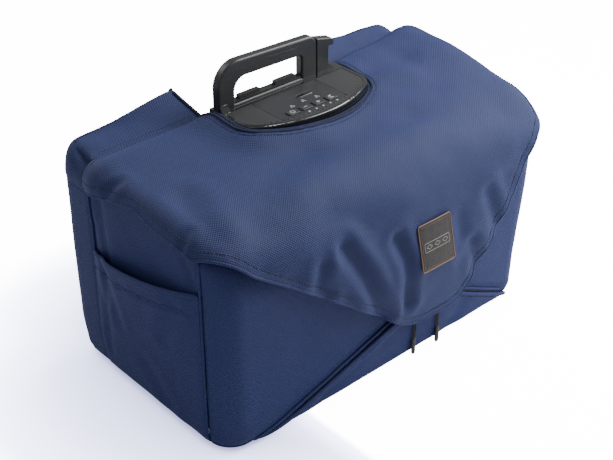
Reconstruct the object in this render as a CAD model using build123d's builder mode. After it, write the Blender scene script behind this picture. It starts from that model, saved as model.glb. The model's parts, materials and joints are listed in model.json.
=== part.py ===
"""Portable oxygen concentrator in its padded carry bag.

Millimetres, +Z up, X along the bag, the front with the envelope flap towards -Y.
The origin is on the floor, at the centre of the outer box.
"""
from build123d import *
import os
from math import atan, cos, degrees, radians, sin

# ---------------------------------------------------------------- bag sizes
BAG_LENGTH = 488.0          # outer faces of the side panels
FRONT_Y = -125.0            # outer face of the front panel
BACK_Y = 143.6              # outer face of the back panel
TOP_FRONT_Z = 258.0         # height of the top line above the front panel
TOP_SLOPE = 0.045           # rise of the top towards the back
WALL = 6.0                  # padded wall of the bag
PLAN_RADIUS = 32.0          # upright corners of the bag
TOP_FRONT_RADIUS = 78.0     # soft bend from the top to the front
BOTTOM_RADIUS = 20.0
BACK_RADIUS = 12.0
SIDE_TOP_RADIUS = 16.0      # soft bend from the top to each side
BASE_THICKNESS = 8.0
SEAM_Y = FRONT_Y + PLAN_RADIUS      # upright seam behind each front corner
BACK_SEAM_Y = 90.0                  # upright seam ahead of each back corner
PANEL_TOP_Z = 246.0                 # top edge of the side panels
FRONT_TOP_Z = 236.0                 # top edge of the front panel

# flap
FLAP_THICKNESS = 4.0
FLAP_CLEARANCE = 0.8
CREASE_Y = 97.0             # seam where the flap joins the back strips
CREASE_GAP = 0.3
FOLD_Z = 225.0              # height of the bend where the front of the flap folds up
FLAP_BULGE_Y = -138.0
FLAP_BULGE_Z = 125.0
FLAP_TIP_Y = -133.0
FLAP_LOW_Z = 30.0           # below this the form under the flap drops straight
FLAP_TOP_INSET = 3.0        # the flap leaves the top this far behind the front panel's face
FLAP_RADII = (66.0, 60.0, 30.0)     # bends at the top, the bulge and the low end
FLAP_PLAN_MARGIN = 20.0
FLAP_PLAN_RADIUS = 46.0
FLAP_EDGE_LEFT_Z = 250.0
TIP_LEFT = (4.0, 63.0)
TIP_LOW = (52.0, 53.0)
TIP_RIGHT = (104.0, 64.0)
RIGHT_EDGE_MIDDLE = (172.0, 148.0)
FLAP_EDGE_RIGHT_Z = 230.0
PATCH_WIDTH = 52.0
PATCH_HEIGHT = 56.0
PATCH_X = 46.0
PATCH_Z = 157.0
PATCH_THICKNESS = 1.4
BINDING_WIDTH = 5.5
BINDING_THICKNESS = 1.8

# notch in the back, behind the carry handle
NOTCH_Z = 208.0
NOTCH_MARGIN = 6.0

# pockets
POCKET_GAP = 7.0
POCKET_WALL = 2.4
POCKET_LENGTH = 170.0
POCKET_HEIGHT = 154.0
POCKET_Z = 10.0
POCKET_SLANT = 33.0

# zips of the lower front panel
LOWER_PANEL_THICKNESS = 3.0
APEX_X = 50.0
APEX_Z = 86.0
ZIP_FOOT = {"left": (-170.0, 16.0), "right": (190.0, 25.0)}
ZIP_WIDTH = 7.0
ZIP_THICKNESS = 2.4
ZIP_GAP = 0.5
SLIDER_LENGTH = 11.0
SLIDER_WIDTH = 9.0
SLIDER_THICKNESS = 2.0
POST_RADIUS = 0.7
POST_HEAD_RADIUS = 1.8
POST_HEAD = 0.7
PULL_CLEARANCE = 0.1
SLIDER_APART = 40.0
CORD_LOOP_LENGTH = 49.0
CORD_DIAMETER = 1.8
PULL_TIP_LENGTH = 24.0
PULL_TIP_DIAMETER = 5.6

# ------------------------------------------------------------- device sizes
DEVICE_LENGTH = 410.0
DEVICE_FRONT_Y = -100.0
DEVICE_BACK_Y = 104.0
DEVICE_TOP_Z = 248.0
FOOT_HEIGHT = 6.0
CASE_WALL = 3.0
CASE_PLAN_RADIUS = 28.0
CASE_FRONT_RADIUS = 45.0
CASE_BACK_RADIUS = 10.0
PARTING_Y = 20.0
FIT = 0.3                   # general gap round a loose piece
DEVICE_MIDDLE_Y = (DEVICE_FRONT_Y + DEVICE_BACK_Y) / 2

# D-shaped turret with the controls
TURRET_X = 5.5
TURRET_WIDTH = 185.0
TURRET_BACK_Y = DEVICE_BACK_Y - 19.0
PANEL_BACK_Y = TURRET_BACK_Y - 18.0
TURRET_CORNER_Y = PANEL_BACK_Y - 47.0
TURRET_NOSE_Y = TURRET_CORNER_Y - 29.0
TURRET_RADIUS = 28.0
TURRET_TOP_Z = 284.0
PANEL_INSET = 5.0
PANEL_THICKNESS = 2.5
OVERLAY_LEFT_X = -46.0
OVERLAY_RIGHT_X = 49.0
OVERLAY_FRONT_Y = TURRET_NOSE_Y + 16.0
OVERLAY_BACK_Y = PANEL_BACK_Y - 7.0
OVERLAY_THICKNESS = 0.8
BUTTON_WIDTH = 15.0
BUTTON_DEPTH = 10.0
BUTTON_HEIGHT = 5.0
BUTTON_PROUD = 1.2
BUTTON_TRAVEL = 0.8
BUTTON_PITCH = 19.0
BUTTON_Y = OVERLAY_FRONT_Y + 8.0
BUTTON_FIRST_X = -26.0

# carry handle
HANDLE_THICKNESS = 12.0
HANDLE_LEFT_X = TURRET_X - TURRET_WIDTH / 2
HOOK_RIGHT_X = TURRET_X + TURRET_WIDTH / 2 - 13.0
HOOK_WIDTH = 27.0
HANDLE_RIGHT_X = HOOK_RIGHT_X - HOOK_WIDTH
HANDLE_TOP_Z = 339.5
HANDLE_BAR = 22.0
HANDLE_BEVEL = 2.5
HANDLE_SLOPE = 5.0          # fall of the top edge towards the right
GRIP_LEFT_X = HANDLE_LEFT_X + 23.5
GRIP_RIGHT_X = HANDLE_RIGHT_X - 23.0
GRIP_BOTTOM_Z = 287.0
RAIL_HEIGHT = 2.4
RAIL_PAD_HEIGHT = 4.5
RAIL_PAD_SHARE = 0.3        # length of each raised pad as a share of the rail
HOOK_TOP_Z = 329.0
HOOK_BEVEL = 1.2

# compressor
SHAFT_X = -20.0
SHAFT_Y = -8.0
SHAFT_Z = 92.0
SHAFT_RADIUS = 5.0
RUN_CLEARANCE = 0.05
CRANK_THROW = 4.0
CRANK_PIN_RADIUS = 4.0
PISTON_RADIUS = 18.0
CYLINDER_WALL = 4.0
ROD_PITCH = 22.0

os.makedirs("parts", exist_ok=True)


def save(builder, label):
    """Label a finished sub-part and write its STEP file."""
    builder.part.label = label
    export_step(builder.part, f"parts/{label}.step")


def top_z(y):
    """Height of the bag's top line at a depth y."""
    return TOP_FRONT_Z + TOP_SLOPE * (y - FRONT_Y)


def rounded_profile(points, radii, grow=0.0):
    """Closed outline on the YZ plane, with one radius per corner."""
    with BuildSketch(Plane.YZ) as outline:
        with BuildLine():
            Polyline(*points, close=True)
        make_face()
        for point, radius in zip(points, radii):
            if radius:
                fillet(outline.vertices().sort_by_distance(point)[0], radius)
        if grow:
            offset(amount=grow, kind=Kind.ARC)
    return outline.sketch


def soft_form(profile, half_length, front_y, back_y, plan_radius, side_radius, roof_z, grow=0.0):
    """Solid that has the given side profile, a rounded plan and rounded top sides."""
    half = half_length + grow
    middle_y = (front_y + back_y) / 2
    depth = back_y - front_y + 2 * grow
    with BuildPart() as form:
        add(extrude(profile, amount=half, both=True))
        with BuildSketch(Plane.XY.offset(-60)) as plan:
            with Locations((0, middle_y)):
                RectangleRounded(2 * half, depth, plan_radius + grow)
        extrude(amount=500, mode=Mode.INTERSECT)
        with BuildSketch(Plane.XZ.offset(-400)) as front:
            with Locations((0, (roof_z + grow) / 2 - 40)):
                RectangleRounded(2 * half, roof_z + grow + 80, side_radius + grow)
        extrude(amount=800, mode=Mode.INTERSECT)
    return form.part


BAG_HALF = BAG_LENGTH / 2


def bag_form(inset=0.0):
    """Outer form of the bag, or its inner form when inset by the wall."""
    points = [
        (FRONT_Y + inset, inset),
        (FRONT_Y + inset, TOP_FRONT_Z - inset),
        (BACK_Y - inset, top_z(BACK_Y) - inset),
        (BACK_Y - inset, inset),
    ]
    radii = [
        BOTTOM_RADIUS - inset,
        TOP_FRONT_RADIUS - inset,
        BACK_RADIUS - inset / 2,
        BOTTOM_RADIUS - inset,
    ]
    profile = rounded_profile(points, radii)
    return soft_form(profile, BAG_HALF - inset, FRONT_Y + inset, BACK_Y - inset,
                     PLAN_RADIUS - inset, SIDE_TOP_RADIUS - inset / 2, top_z(BACK_Y) - inset)


def flap_form(grow):
    """Form under the flap: the bag's top, then a loose bulge down the front."""
    points = [
        (BACK_Y, -BOTTOM_RADIUS),
        (BACK_Y, top_z(BACK_Y)),
        (FRONT_Y + FLAP_TOP_INSET, top_z(FRONT_Y + FLAP_TOP_INSET)),
        (FLAP_BULGE_Y, FLAP_BULGE_Z),
        (FLAP_TIP_Y, FLAP_LOW_Z),
        (FLAP_TIP_Y, -BOTTOM_RADIUS),
    ]
    profile = rounded_profile(points, [0, 0, *FLAP_RADII, 0], grow)
    return soft_form(profile, BAG_HALF, FLAP_BULGE_Y - FLAP_PLAN_MARGIN, BACK_Y, FLAP_PLAN_RADIUS,
                     SIDE_TOP_RADIUS, top_z(BACK_Y), grow)


def region(x0, x1, y0, y1, z0, z1):
    """Plain block between two corners, used to divide a form into panels."""
    with BuildPart() as block:
        with BuildSketch(Plane.XY.offset(z0)):
            with Locations(((x0 + x1) / 2, (y0 + y1) / 2)):
                Rectangle(x1 - x0, y1 - y0)
        extrude(amount=z1 - z0)
    return block.part


FAR = 400.0
NOTCH_LEFT_X = TURRET_X - TURRET_WIDTH / 2 - NOTCH_MARGIN
NOTCH_RIGHT_X = TURRET_X + TURRET_WIDTH / 2 + NOTCH_MARGIN
bag_outer = bag_form()
bag_shell = bag_outer - bag_form(WALL)
notch = region(NOTCH_LEFT_X, NOTCH_RIGHT_X, BACK_SEAM_Y, FAR, NOTCH_Z, FAR)

# ---------------------------------------------------------------- bag panels
with BuildPart() as base_panel:
    add(bag_outer)
    add(region(-FAR, FAR, -FAR, FAR, -10, BASE_THICKNESS), mode=Mode.INTERSECT)
save(base_panel, "base_panel")

with BuildPart() as front_panel:
    add(bag_shell)
    add(region(-FAR, FAR, -FAR, SEAM_Y, BASE_THICKNESS, FRONT_TOP_Z), mode=Mode.INTERSECT)
save(front_panel, "front_panel")

for side, label in ((-1, "left_side_panel"), (1, "right_side_panel")):
    inner_x = side * (BAG_HALF - 3 * WALL)
    outer_x = side * FAR
    with BuildPart() as side_panel:
        add(bag_shell)
        add(region(min(inner_x, outer_x), max(inner_x, outer_x), SEAM_Y, BACK_SEAM_Y,
                   BASE_THICKNESS, PANEL_TOP_Z), mode=Mode.INTERSECT)
    save(side_panel, label)

VENT_X = 128.0
VENT_Z = 110.0
VENT_WIDTH = 100.0
VENT_HEIGHT = 90.0
MESH_CLEARANCE = 0.05

with BuildPart() as back_panel:
    add(bag_shell)
    add(region(-FAR, FAR, BACK_SEAM_Y, FAR, BASE_THICKNESS, PANEL_TOP_Z), mode=Mode.INTERSECT)
    add(notch, mode=Mode.SUBTRACT)
    with BuildSketch(Plane.XZ.offset(-BACK_Y - 10)):
        with Locations((VENT_X, VENT_Z)):
            RectangleRounded(VENT_WIDTH, VENT_HEIGHT, 12)
    extrude(amount=40, mode=Mode.SUBTRACT)
save(back_panel, "back_panel")

with BuildPart() as rear_vent_mesh:
    with BuildSketch(Plane.XZ.offset(-BACK_Y + WALL / 2)):
        with Locations((VENT_X, VENT_Z)):
            RectangleRounded(VENT_WIDTH - 2 * MESH_CLEARANCE, VENT_HEIGHT - 2 * MESH_CLEARANCE, 12)
    extrude(amount=1.6)
save(rear_vent_mesh, "rear_vent_mesh")

STRIP_FRONT_Y = CREASE_Y + CREASE_GAP
with BuildPart() as back_strips:
    add(bag_shell)
    add(region(-FAR, FAR, STRIP_FRONT_Y, FAR, PANEL_TOP_Z, FAR), mode=Mode.INTERSECT)
    add(notch, mode=Mode.SUBTRACT)
save(back_strips, "back_strips")

# ------------------------------------------------------------------- pockets
for side, label in ((-1, "left_pocket"), (1, "right_pocket")):
    wall_x = side * BAG_HALF
    pocket_y = (SEAM_Y + BACK_SEAM_Y) / 2
    with BuildPart() as pocket:
        with BuildSketch(Plane.YZ.offset(wall_x)) as pocket_face:
            with BuildLine():
                half = POCKET_LENGTH / 2
                Polyline((pocket_y - half, POCKET_Z), (pocket_y + half, POCKET_Z),
                         (pocket_y + half, POCKET_Z + POCKET_HEIGHT),
                         (pocket_y - half, POCKET_Z + POCKET_HEIGHT + POCKET_SLANT), close=True)
            make_face()
        extrude(amount=side * (POCKET_GAP + POCKET_WALL))
        with BuildSketch(Plane.YZ.offset(wall_x)) as pocket_room:
            with Locations((pocket_y, POCKET_Z + FAR / 2 + POCKET_WALL)):
                Rectangle(POCKET_LENGTH - 2 * POCKET_WALL, FAR)
        extrude(amount=side * POCKET_GAP, mode=Mode.SUBTRACT)
    save(pocket, label)

# ----------------------------------------------- lower front panel and zips
SLIDER_X = {"left": APEX_X - SLIDER_APART / 2, "right": APEX_X + SLIDER_APART / 2}


def zip_line(side):
    """Foot of one zip, and its rise for each millimetre of x."""
    foot_x, foot_z = ZIP_FOOT[side]
    return foot_x, (foot_z - APEX_Z) / (foot_x - APEX_X)


with BuildPart() as lower_front_panel:
    with BuildSketch(Plane.XZ.offset(-FRONT_Y)):
        with BuildLine():
            drop = ZIP_WIDTH + ZIP_GAP
            (left_x, left_z), (right_x, right_z) = ZIP_FOOT["left"], ZIP_FOOT["right"]
            Polyline((left_x, left_z - drop), (APEX_X, APEX_Z - drop),
                     (right_x, right_z - drop), (right_x, left_z - drop), close=True)
        make_face()
    extrude(amount=LOWER_PANEL_THICKNESS)
save(lower_front_panel, "lower_front_panel")

with BuildPart() as zip_tapes:
    for side, outward in (("left", 1), ("right", -1)):
        foot_x, slope = zip_line(side)
        with BuildSketch(Plane.XZ.offset(-FRONT_Y)):
            with BuildLine():
                start_x = APEX_X - outward * ZIP_GAP
                start_z = APEX_Z + slope * (start_x - APEX_X)
                foot_z = APEX_Z + slope * (foot_x - APEX_X)
                Polyline((start_x, start_z), (foot_x, foot_z), (foot_x, foot_z - ZIP_WIDTH),
                         (start_x, start_z - ZIP_WIDTH), close=True)
            make_face()
        extrude(amount=ZIP_THICKNESS)
save(zip_tapes, "zip_tapes")

for side in ("left", "right"):
    foot_x, slope = zip_line(side)
    slider_x = SLIDER_X[side]
    slider_z = APEX_Z - ZIP_WIDTH / 2 + slope * (slider_x - APEX_X)
    slider_y = FRONT_Y - LOWER_PANEL_THICKNESS - ZIP_GAP
    slider_face_y = slider_y - SLIDER_THICKNESS
    cord_y = slider_face_y - PULL_CLEARANCE - CORD_DIAMETER / 2
    tilt = degrees(atan(slope))
    with BuildPart() as slider:
        with BuildSketch(Plane.XZ.offset(-slider_y)):
            with Locations(Location((slider_x, slider_z, 0), (0, 0, tilt))):
                RectangleRounded(SLIDER_LENGTH, SLIDER_WIDTH, 2)
        extrude(amount=SLIDER_THICKNESS)
        with BuildSketch(Plane.XZ.offset(-slider_face_y)):
            with Locations((slider_x, slider_z)):
                Circle(POST_RADIUS)
        extrude(amount=CORD_DIAMETER + 2 * PULL_CLEARANCE)
        with BuildSketch(Plane.XZ.offset(-slider_face_y + CORD_DIAMETER + 2 * PULL_CLEARANCE)):
            with Locations((slider_x, slider_z)):
                Circle(POST_HEAD_RADIUS)
        extrude(amount=POST_HEAD)
    save(slider, f"slider_{side}")

    strand = POST_RADIUS + PULL_CLEARANCE + CORD_DIAMETER / 2
    loop_bottom = slider_z - CORD_LOOP_LENGTH
    with BuildPart() as pull_cord:
        with BuildLine() as loop:
            left_up = Line((slider_x - strand, cord_y, loop_bottom), (slider_x - strand, cord_y, slider_z))
            ThreePointArc(left_up @ 1, (slider_x, cord_y, slider_z + strand),
                          (slider_x + strand, cord_y, slider_z))
            Line((slider_x + strand, cord_y, slider_z), (slider_x + strand, cord_y, loop_bottom))
        with BuildSketch(Plane(origin=left_up @ 0, z_dir=(0, 0, 1))):
            Circle(CORD_DIAMETER / 2)
        sweep(path=loop.wire())
    save(pull_cord, f"pull_cord_{side}")

    with BuildPart() as pull_tip:
        with BuildSketch(Plane(origin=(slider_x, cord_y, loop_bottom), z_dir=(0, 0, -1))):
            Circle(PULL_TIP_DIAMETER / 2 - 0.6)
        with BuildSketch(Plane(origin=(slider_x, cord_y, loop_bottom - 4), z_dir=(0, 0, -1))):
            Circle(PULL_TIP_DIAMETER / 2)
        loft()
        with BuildSketch(Plane(origin=(slider_x, cord_y, loop_bottom - 4), z_dir=(0, 0, -1))):
            Circle(PULL_TIP_DIAMETER / 2)
        extrude(amount=PULL_TIP_LENGTH - 4)
        fillet(pull_tip.edges().group_by(Axis.Z)[0], 1.6)
    save(pull_tip, f"pull_tip_{side}")

# ---------------------------------------------------------------------- flap


def turret_outline(back_y, grow=0.0):
    """The D seen from above: straight back, straight sides, bowed front."""
    left = TURRET_X - TURRET_WIDTH / 2
    right = TURRET_X + TURRET_WIDTH / 2
    with BuildSketch() as outline:
        with BuildLine():
            Line((left, TURRET_CORNER_Y), (left, back_y))
            Line((left, back_y), (right, back_y))
            Line((right, back_y), (right, TURRET_CORNER_Y))
            ThreePointArc((right, TURRET_CORNER_Y), (TURRET_X, TURRET_NOSE_Y), (left, TURRET_CORNER_Y))
        make_face()
        for corner_x in (left, right):
            corner = outline.vertices().sort_by_distance((corner_x, TURRET_CORNER_Y))[0]
            fillet(corner, TURRET_RADIUS)
        if grow:
            offset(amount=grow, kind=Kind.INTERSECTION)
    return outline.sketch


def turret_prism(back_y, grow, z0, z1):
    """The D extruded between two heights."""
    with BuildPart() as prism:
        with BuildSketch(Plane.XY.offset(z0)):
            add(turret_outline(back_y, grow))
        extrude(amount=z1 - z0)
    return prism.part


with BuildPart() as flap_keep:
    with BuildSketch(Plane.XZ.offset(-FAR)):
        with BuildLine():
            right_low = (BAG_HALF + 1, FLAP_EDGE_RIGHT_Z)
            Polyline((-FAR, FAR), (-FAR, FLAP_EDGE_LEFT_Z - 2), (-BAG_HALF, FLAP_EDGE_LEFT_Z - 2), TIP_LEFT)
            ThreePointArc(TIP_LEFT, TIP_LOW, TIP_RIGHT)
            ThreePointArc(TIP_RIGHT, RIGHT_EDGE_MIDDLE, right_low)
            Polyline(right_low, (FAR, FLAP_EDGE_RIGHT_Z), (FAR, FAR), (-FAR, FAR))
        make_face()
    extrude(amount=2 * FAR)
    add(region(-FAR, FAR, -FAR, CREASE_Y - CREASE_GAP, -FAR, FAR), mode=Mode.INTERSECT)
    add(turret_prism(FAR, BINDING_WIDTH, 0, FAR), mode=Mode.SUBTRACT)

flap_shell = flap_form(FLAP_CLEARANCE + FLAP_THICKNESS) - flap_form(FLAP_CLEARANCE)
FOLD_GAP = 0.3

with BuildPart() as flap_lid:
    add(flap_shell)
    add(flap_keep.part, mode=Mode.INTERSECT)
    add(region(-FAR, FAR, -FAR, FAR, FOLD_Z + FOLD_GAP, FAR), mode=Mode.INTERSECT)
save(flap_lid, "flap_lid")

with BuildPart() as flap_front:
    add(flap_shell)
    add(flap_keep.part, mode=Mode.INTERSECT)
    add(region(-FAR, FAR, -FAR, FAR, -FAR, FOLD_Z - FOLD_GAP), mode=Mode.INTERSECT)
save(flap_front, "flap_front")

with BuildPart() as opening_binding:
    add(flap_form(FLAP_CLEARANCE + FLAP_THICKNESS + BINDING_THICKNESS))
    add(flap_form(FLAP_CLEARANCE + FLAP_THICKNESS), mode=Mode.SUBTRACT)
    add(turret_prism(FAR, 2 * BINDING_WIDTH, 230, FAR), mode=Mode.INTERSECT)
    add(turret_prism(FAR, BINDING_WIDTH, 0, FAR), mode=Mode.SUBTRACT)
    add(region(-FAR, FAR, -FAR, CREASE_Y - CREASE_GAP, 230, FAR), mode=Mode.INTERSECT)
save(opening_binding, "opening_binding")

with BuildPart() as flap_patch:
    add(flap_form(FLAP_CLEARANCE + FLAP_THICKNESS + PATCH_THICKNESS))
    add(flap_form(FLAP_CLEARANCE + FLAP_THICKNESS), mode=Mode.SUBTRACT)
    add(region(PATCH_X - PATCH_WIDTH / 2, PATCH_X + PATCH_WIDTH / 2, -FAR, 0,
               PATCH_Z - PATCH_HEIGHT / 2, PATCH_Z + PATCH_HEIGHT / 2), mode=Mode.INTERSECT)
save(flap_patch, "flap_patch")

# --------------------------------------------------------------- device case
CASE_HALF = DEVICE_LENGTH / 2
CASE_BOTTOM_Z = BASE_THICKNESS + FOOT_HEIGHT


def case_form(inset=0.0):
    """Outer form of the case, or its inside when inset by the wall."""
    points = [
        (DEVICE_FRONT_Y + inset, CASE_BOTTOM_Z + inset),
        (DEVICE_FRONT_Y + inset, DEVICE_TOP_Z - inset),
        (DEVICE_BACK_Y - inset, DEVICE_TOP_Z - inset),
        (DEVICE_BACK_Y - inset, CASE_BOTTOM_Z + inset),
    ]
    radii = [8 - inset / 2, CASE_FRONT_RADIUS - inset, CASE_BACK_RADIUS - inset, 8 - inset / 2]
    profile = rounded_profile(points, radii)
    return soft_form(profile, CASE_HALF - inset, DEVICE_FRONT_Y + inset, DEVICE_BACK_Y - inset,
                     CASE_PLAN_RADIUS - inset, 20 - inset, DEVICE_TOP_Z - inset)


case_shell = case_form() - case_form(CASE_WALL)
wire_port = region(TURRET_X - 60, TURRET_X + 60, 0, 50, DEVICE_TOP_Z - 20, FAR)

BARB_X = 66.0
BARB_Z = 225.0
BARB_HOLE_RADIUS = 5.0
DC_X = 36.0
DC_RADIUS = 2.75
DC_DEPTH = 9.0
DC_BODY_RADIUS = 6.0
INTAKE_X = -40.0
INTAKE_Z = 180.0
INTAKE_WIDTH = 90.0
INTAKE_HEIGHT = 60.0
EXHAUST_WIDTH = 80.0
EXHAUST_HEIGHT = 70.0

with BuildPart() as front_shell:
    add(case_shell)
    add(region(-FAR, FAR, -FAR, PARTING_Y, 0, FAR), mode=Mode.INTERSECT)
    add(wire_port, mode=Mode.SUBTRACT)
save(front_shell, "front_shell")

with BuildPart() as rear_shell:
    add(case_shell)
    add(region(-FAR, FAR, PARTING_Y, FAR, 0, FAR), mode=Mode.INTERSECT)
    add(wire_port, mode=Mode.SUBTRACT)
    with BuildSketch(Plane.XZ.offset(-DEVICE_BACK_Y - 5)):
        with Locations((BARB_X, BARB_Z)):
            Circle(BARB_HOLE_RADIUS)
        with Locations((DC_X, BARB_Z)):
            Circle(DC_BODY_RADIUS)
        with Locations((INTAKE_X, INTAKE_Z)):
            RectangleRounded(INTAKE_WIDTH, INTAKE_HEIGHT, 6)
        with Locations((VENT_X, VENT_Z)):
            RectangleRounded(EXHAUST_WIDTH, EXHAUST_HEIGHT, 6)
    extrude(amount=30, mode=Mode.SUBTRACT)
save(rear_shell, "rear_shell")


def grille(x, z, width, height, slots, label):
    """Slotted cover that fills an opening in the rear shell."""
    with BuildPart() as cover:
        with BuildSketch(Plane.XZ.offset(-DEVICE_BACK_Y)):
            with Locations((x, z)):
                RectangleRounded(width - 2 * FIT, height - 2 * FIT, 6 - FIT)
            with Locations((x, z)):
                with GridLocations(0, height / (slots + 1), 1, slots):
                    SlotOverall(width - 16, 4, mode=Mode.SUBTRACT)
        extrude(amount=CASE_WALL)
    save(cover, label)


grille(INTAKE_X, INTAKE_Z, INTAKE_WIDTH, INTAKE_HEIGHT, 7, "intake_grille")
grille(VENT_X, VENT_Z, EXHAUST_WIDTH, EXHAUST_HEIGHT, 8, "exhaust_grille")

with BuildPart() as intake_filter:
    with BuildSketch(Plane.XZ.offset(-DEVICE_BACK_Y + CASE_WALL + FIT)):
        with Locations((INTAKE_X, INTAKE_Z)):
            RectangleRounded(INTAKE_WIDTH - 4, INTAKE_HEIGHT - 4, 4)
    extrude(amount=8)
save(intake_filter, "intake_filter")

with BuildPart() as cannula_barb:
    axis_plane = Plane(origin=(BARB_X, DEVICE_BACK_Y - 14, BARB_Z), z_dir=(0, 1, 0))
    with BuildSketch(axis_plane):
        Circle(BARB_HOLE_RADIUS - FIT)
    extrude(amount=14)
    with BuildSketch(axis_plane.offset(14)):
        Circle(8)
    extrude(amount=3)
    with BuildSketch(axis_plane.offset(17)):
        Circle(3.2)
    extrude(amount=16)
    with BuildSketch(axis_plane):
        Circle(1.6)
    extrude(amount=40, mode=Mode.SUBTRACT)
save(cannula_barb, "cannula_barb")

with BuildPart() as dc_inlet:
    inlet_plane = Plane(origin=(DC_X, DEVICE_BACK_Y, BARB_Z), z_dir=(0, -1, 0))
    with BuildSketch(inlet_plane):
        Circle(DC_BODY_RADIUS - FIT)
    extrude(amount=14)
    with BuildSketch(inlet_plane):
        Circle(DC_RADIUS)
    extrude(amount=DC_DEPTH, mode=Mode.SUBTRACT)
save(dc_inlet, "dc_inlet")

FOOT_X = 160.0
FOOT_Y = (DEVICE_BACK_Y - DEVICE_FRONT_Y) / 2 - 32.0    # half the spacing of the feet
with BuildPart() as rubber_feet:
    with BuildSketch(Plane.XY.offset(BASE_THICKNESS)):
        with Locations((0, DEVICE_MIDDLE_Y)):
            with GridLocations(2 * FOOT_X, 2 * FOOT_Y, 2, 2):
                Circle(12)
    extrude(amount=FOOT_HEIGHT)
save(rubber_feet, "rubber_feet")

# ------------------------------------------------------------- control turret
with BuildPart() as top_cover:
    add(turret_prism(TURRET_BACK_Y, 0, DEVICE_TOP_Z, TURRET_TOP_Z))
    fillet(top_cover.faces().sort_by(Axis.Z)[-1].edges(), 1.5)
    add(turret_prism(TURRET_BACK_Y, -CASE_WALL, DEVICE_TOP_Z, TURRET_TOP_Z - CASE_WALL - PANEL_THICKNESS),
        mode=Mode.SUBTRACT)
    add(turret_prism(PANEL_BACK_Y, -PANEL_INSET, TURRET_TOP_Z - PANEL_THICKNESS, FAR), mode=Mode.SUBTRACT)
    add(turret_prism(PANEL_BACK_Y, -PANEL_INSET - 6, DEVICE_TOP_Z, FAR), mode=Mode.SUBTRACT)
save(top_cover, "top_cover")


def button_x(index):
    """Middle of a button in the row, counted from the left."""
    return BUTTON_FIRST_X + index * BUTTON_PITCH


BUTTON_NAMES = ("power_button", "flow_down_button", "flow_up_button", "mode_button")
PANEL_TOP = TURRET_TOP_Z - FIT
LED_X = 11.0
LED_Y = TURRET_NOSE_Y + 14.0
LED_RADIUS = 1.3
LED_PITCH = 10.5
LED_COUNT = 5

with BuildPart() as control_panel:
    add(turret_prism(PANEL_BACK_Y, -PANEL_INSET - FIT, TURRET_TOP_Z - PANEL_THICKNESS, PANEL_TOP))
    add(region(OVERLAY_LEFT_X, OVERLAY_RIGHT_X, OVERLAY_FRONT_Y, OVERLAY_BACK_Y,
               PANEL_TOP - OVERLAY_THICKNESS, FAR), mode=Mode.SUBTRACT)
    with BuildSketch(Plane.XY.offset(TURRET_TOP_Z - 5)):
        for index in range(len(BUTTON_NAMES)):
            with Locations((button_x(index), BUTTON_Y)):
                RectangleRounded(BUTTON_WIDTH + 2 * FIT, BUTTON_DEPTH + 2 * FIT, 2)
        with Locations((LED_X, LED_Y)):
            with GridLocations(LED_PITCH, 0, LED_COUNT, 1):
                Circle(LED_RADIUS)
    extrude(amount=20, mode=Mode.SUBTRACT)
save(control_panel, "control_panel")

with BuildPart() as keypad_overlay:
    with BuildSketch(Plane.XY.offset(PANEL_TOP - OVERLAY_THICKNESS)):
        with Locations(((OVERLAY_LEFT_X + OVERLAY_RIGHT_X) / 2, (OVERLAY_FRONT_Y + OVERLAY_BACK_Y) / 2)):
            RectangleRounded(OVERLAY_RIGHT_X - OVERLAY_LEFT_X - 2 * FIT,
                             OVERLAY_BACK_Y - OVERLAY_FRONT_Y - 2 * FIT, 3)
        for index in range(len(BUTTON_NAMES)):
            with Locations((button_x(index), BUTTON_Y)):
                RectangleRounded(BUTTON_WIDTH + 2 * FIT, BUTTON_DEPTH + 2 * FIT, 2, mode=Mode.SUBTRACT)
        with Locations((LED_X, LED_Y)):
            with GridLocations(LED_PITCH, 0, LED_COUNT, 1):
                Circle(LED_RADIUS, mode=Mode.SUBTRACT)
    extrude(amount=OVERLAY_THICKNESS)
save(keypad_overlay, "keypad_overlay")

for index, label in enumerate(BUTTON_NAMES):
    with BuildPart() as button:
        with BuildSketch(Plane.XY.offset(PANEL_TOP + BUTTON_PROUD - BUTTON_HEIGHT)):
            with Locations((button_x(index), BUTTON_Y)):
                RectangleRounded(BUTTON_WIDTH, BUTTON_DEPTH, 1.8)
        extrude(amount=BUTTON_HEIGHT)
        fillet(button.faces().sort_by(Axis.Z)[-1].edges(), 0.5)
    save(button, label)

with BuildPart() as indicator_lenses:
    with BuildSketch(Plane.XY.offset(TURRET_TOP_Z - PANEL_THICKNESS)):
        with Locations((LED_X, LED_Y)):
            with GridLocations(LED_PITCH, 0, LED_COUNT, 1):
                Circle(LED_RADIUS - 0.1)
    extrude(amount=PANEL_THICKNESS)
save(indicator_lenses, "indicator_lenses")

UI_BOARD_Z = TURRET_TOP_Z - 12
with BuildPart() as ui_board:
    add(turret_prism(PANEL_BACK_Y, -PANEL_INSET - 9, UI_BOARD_Z, UI_BOARD_Z + 1.6))
save(ui_board, "ui_board")

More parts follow.
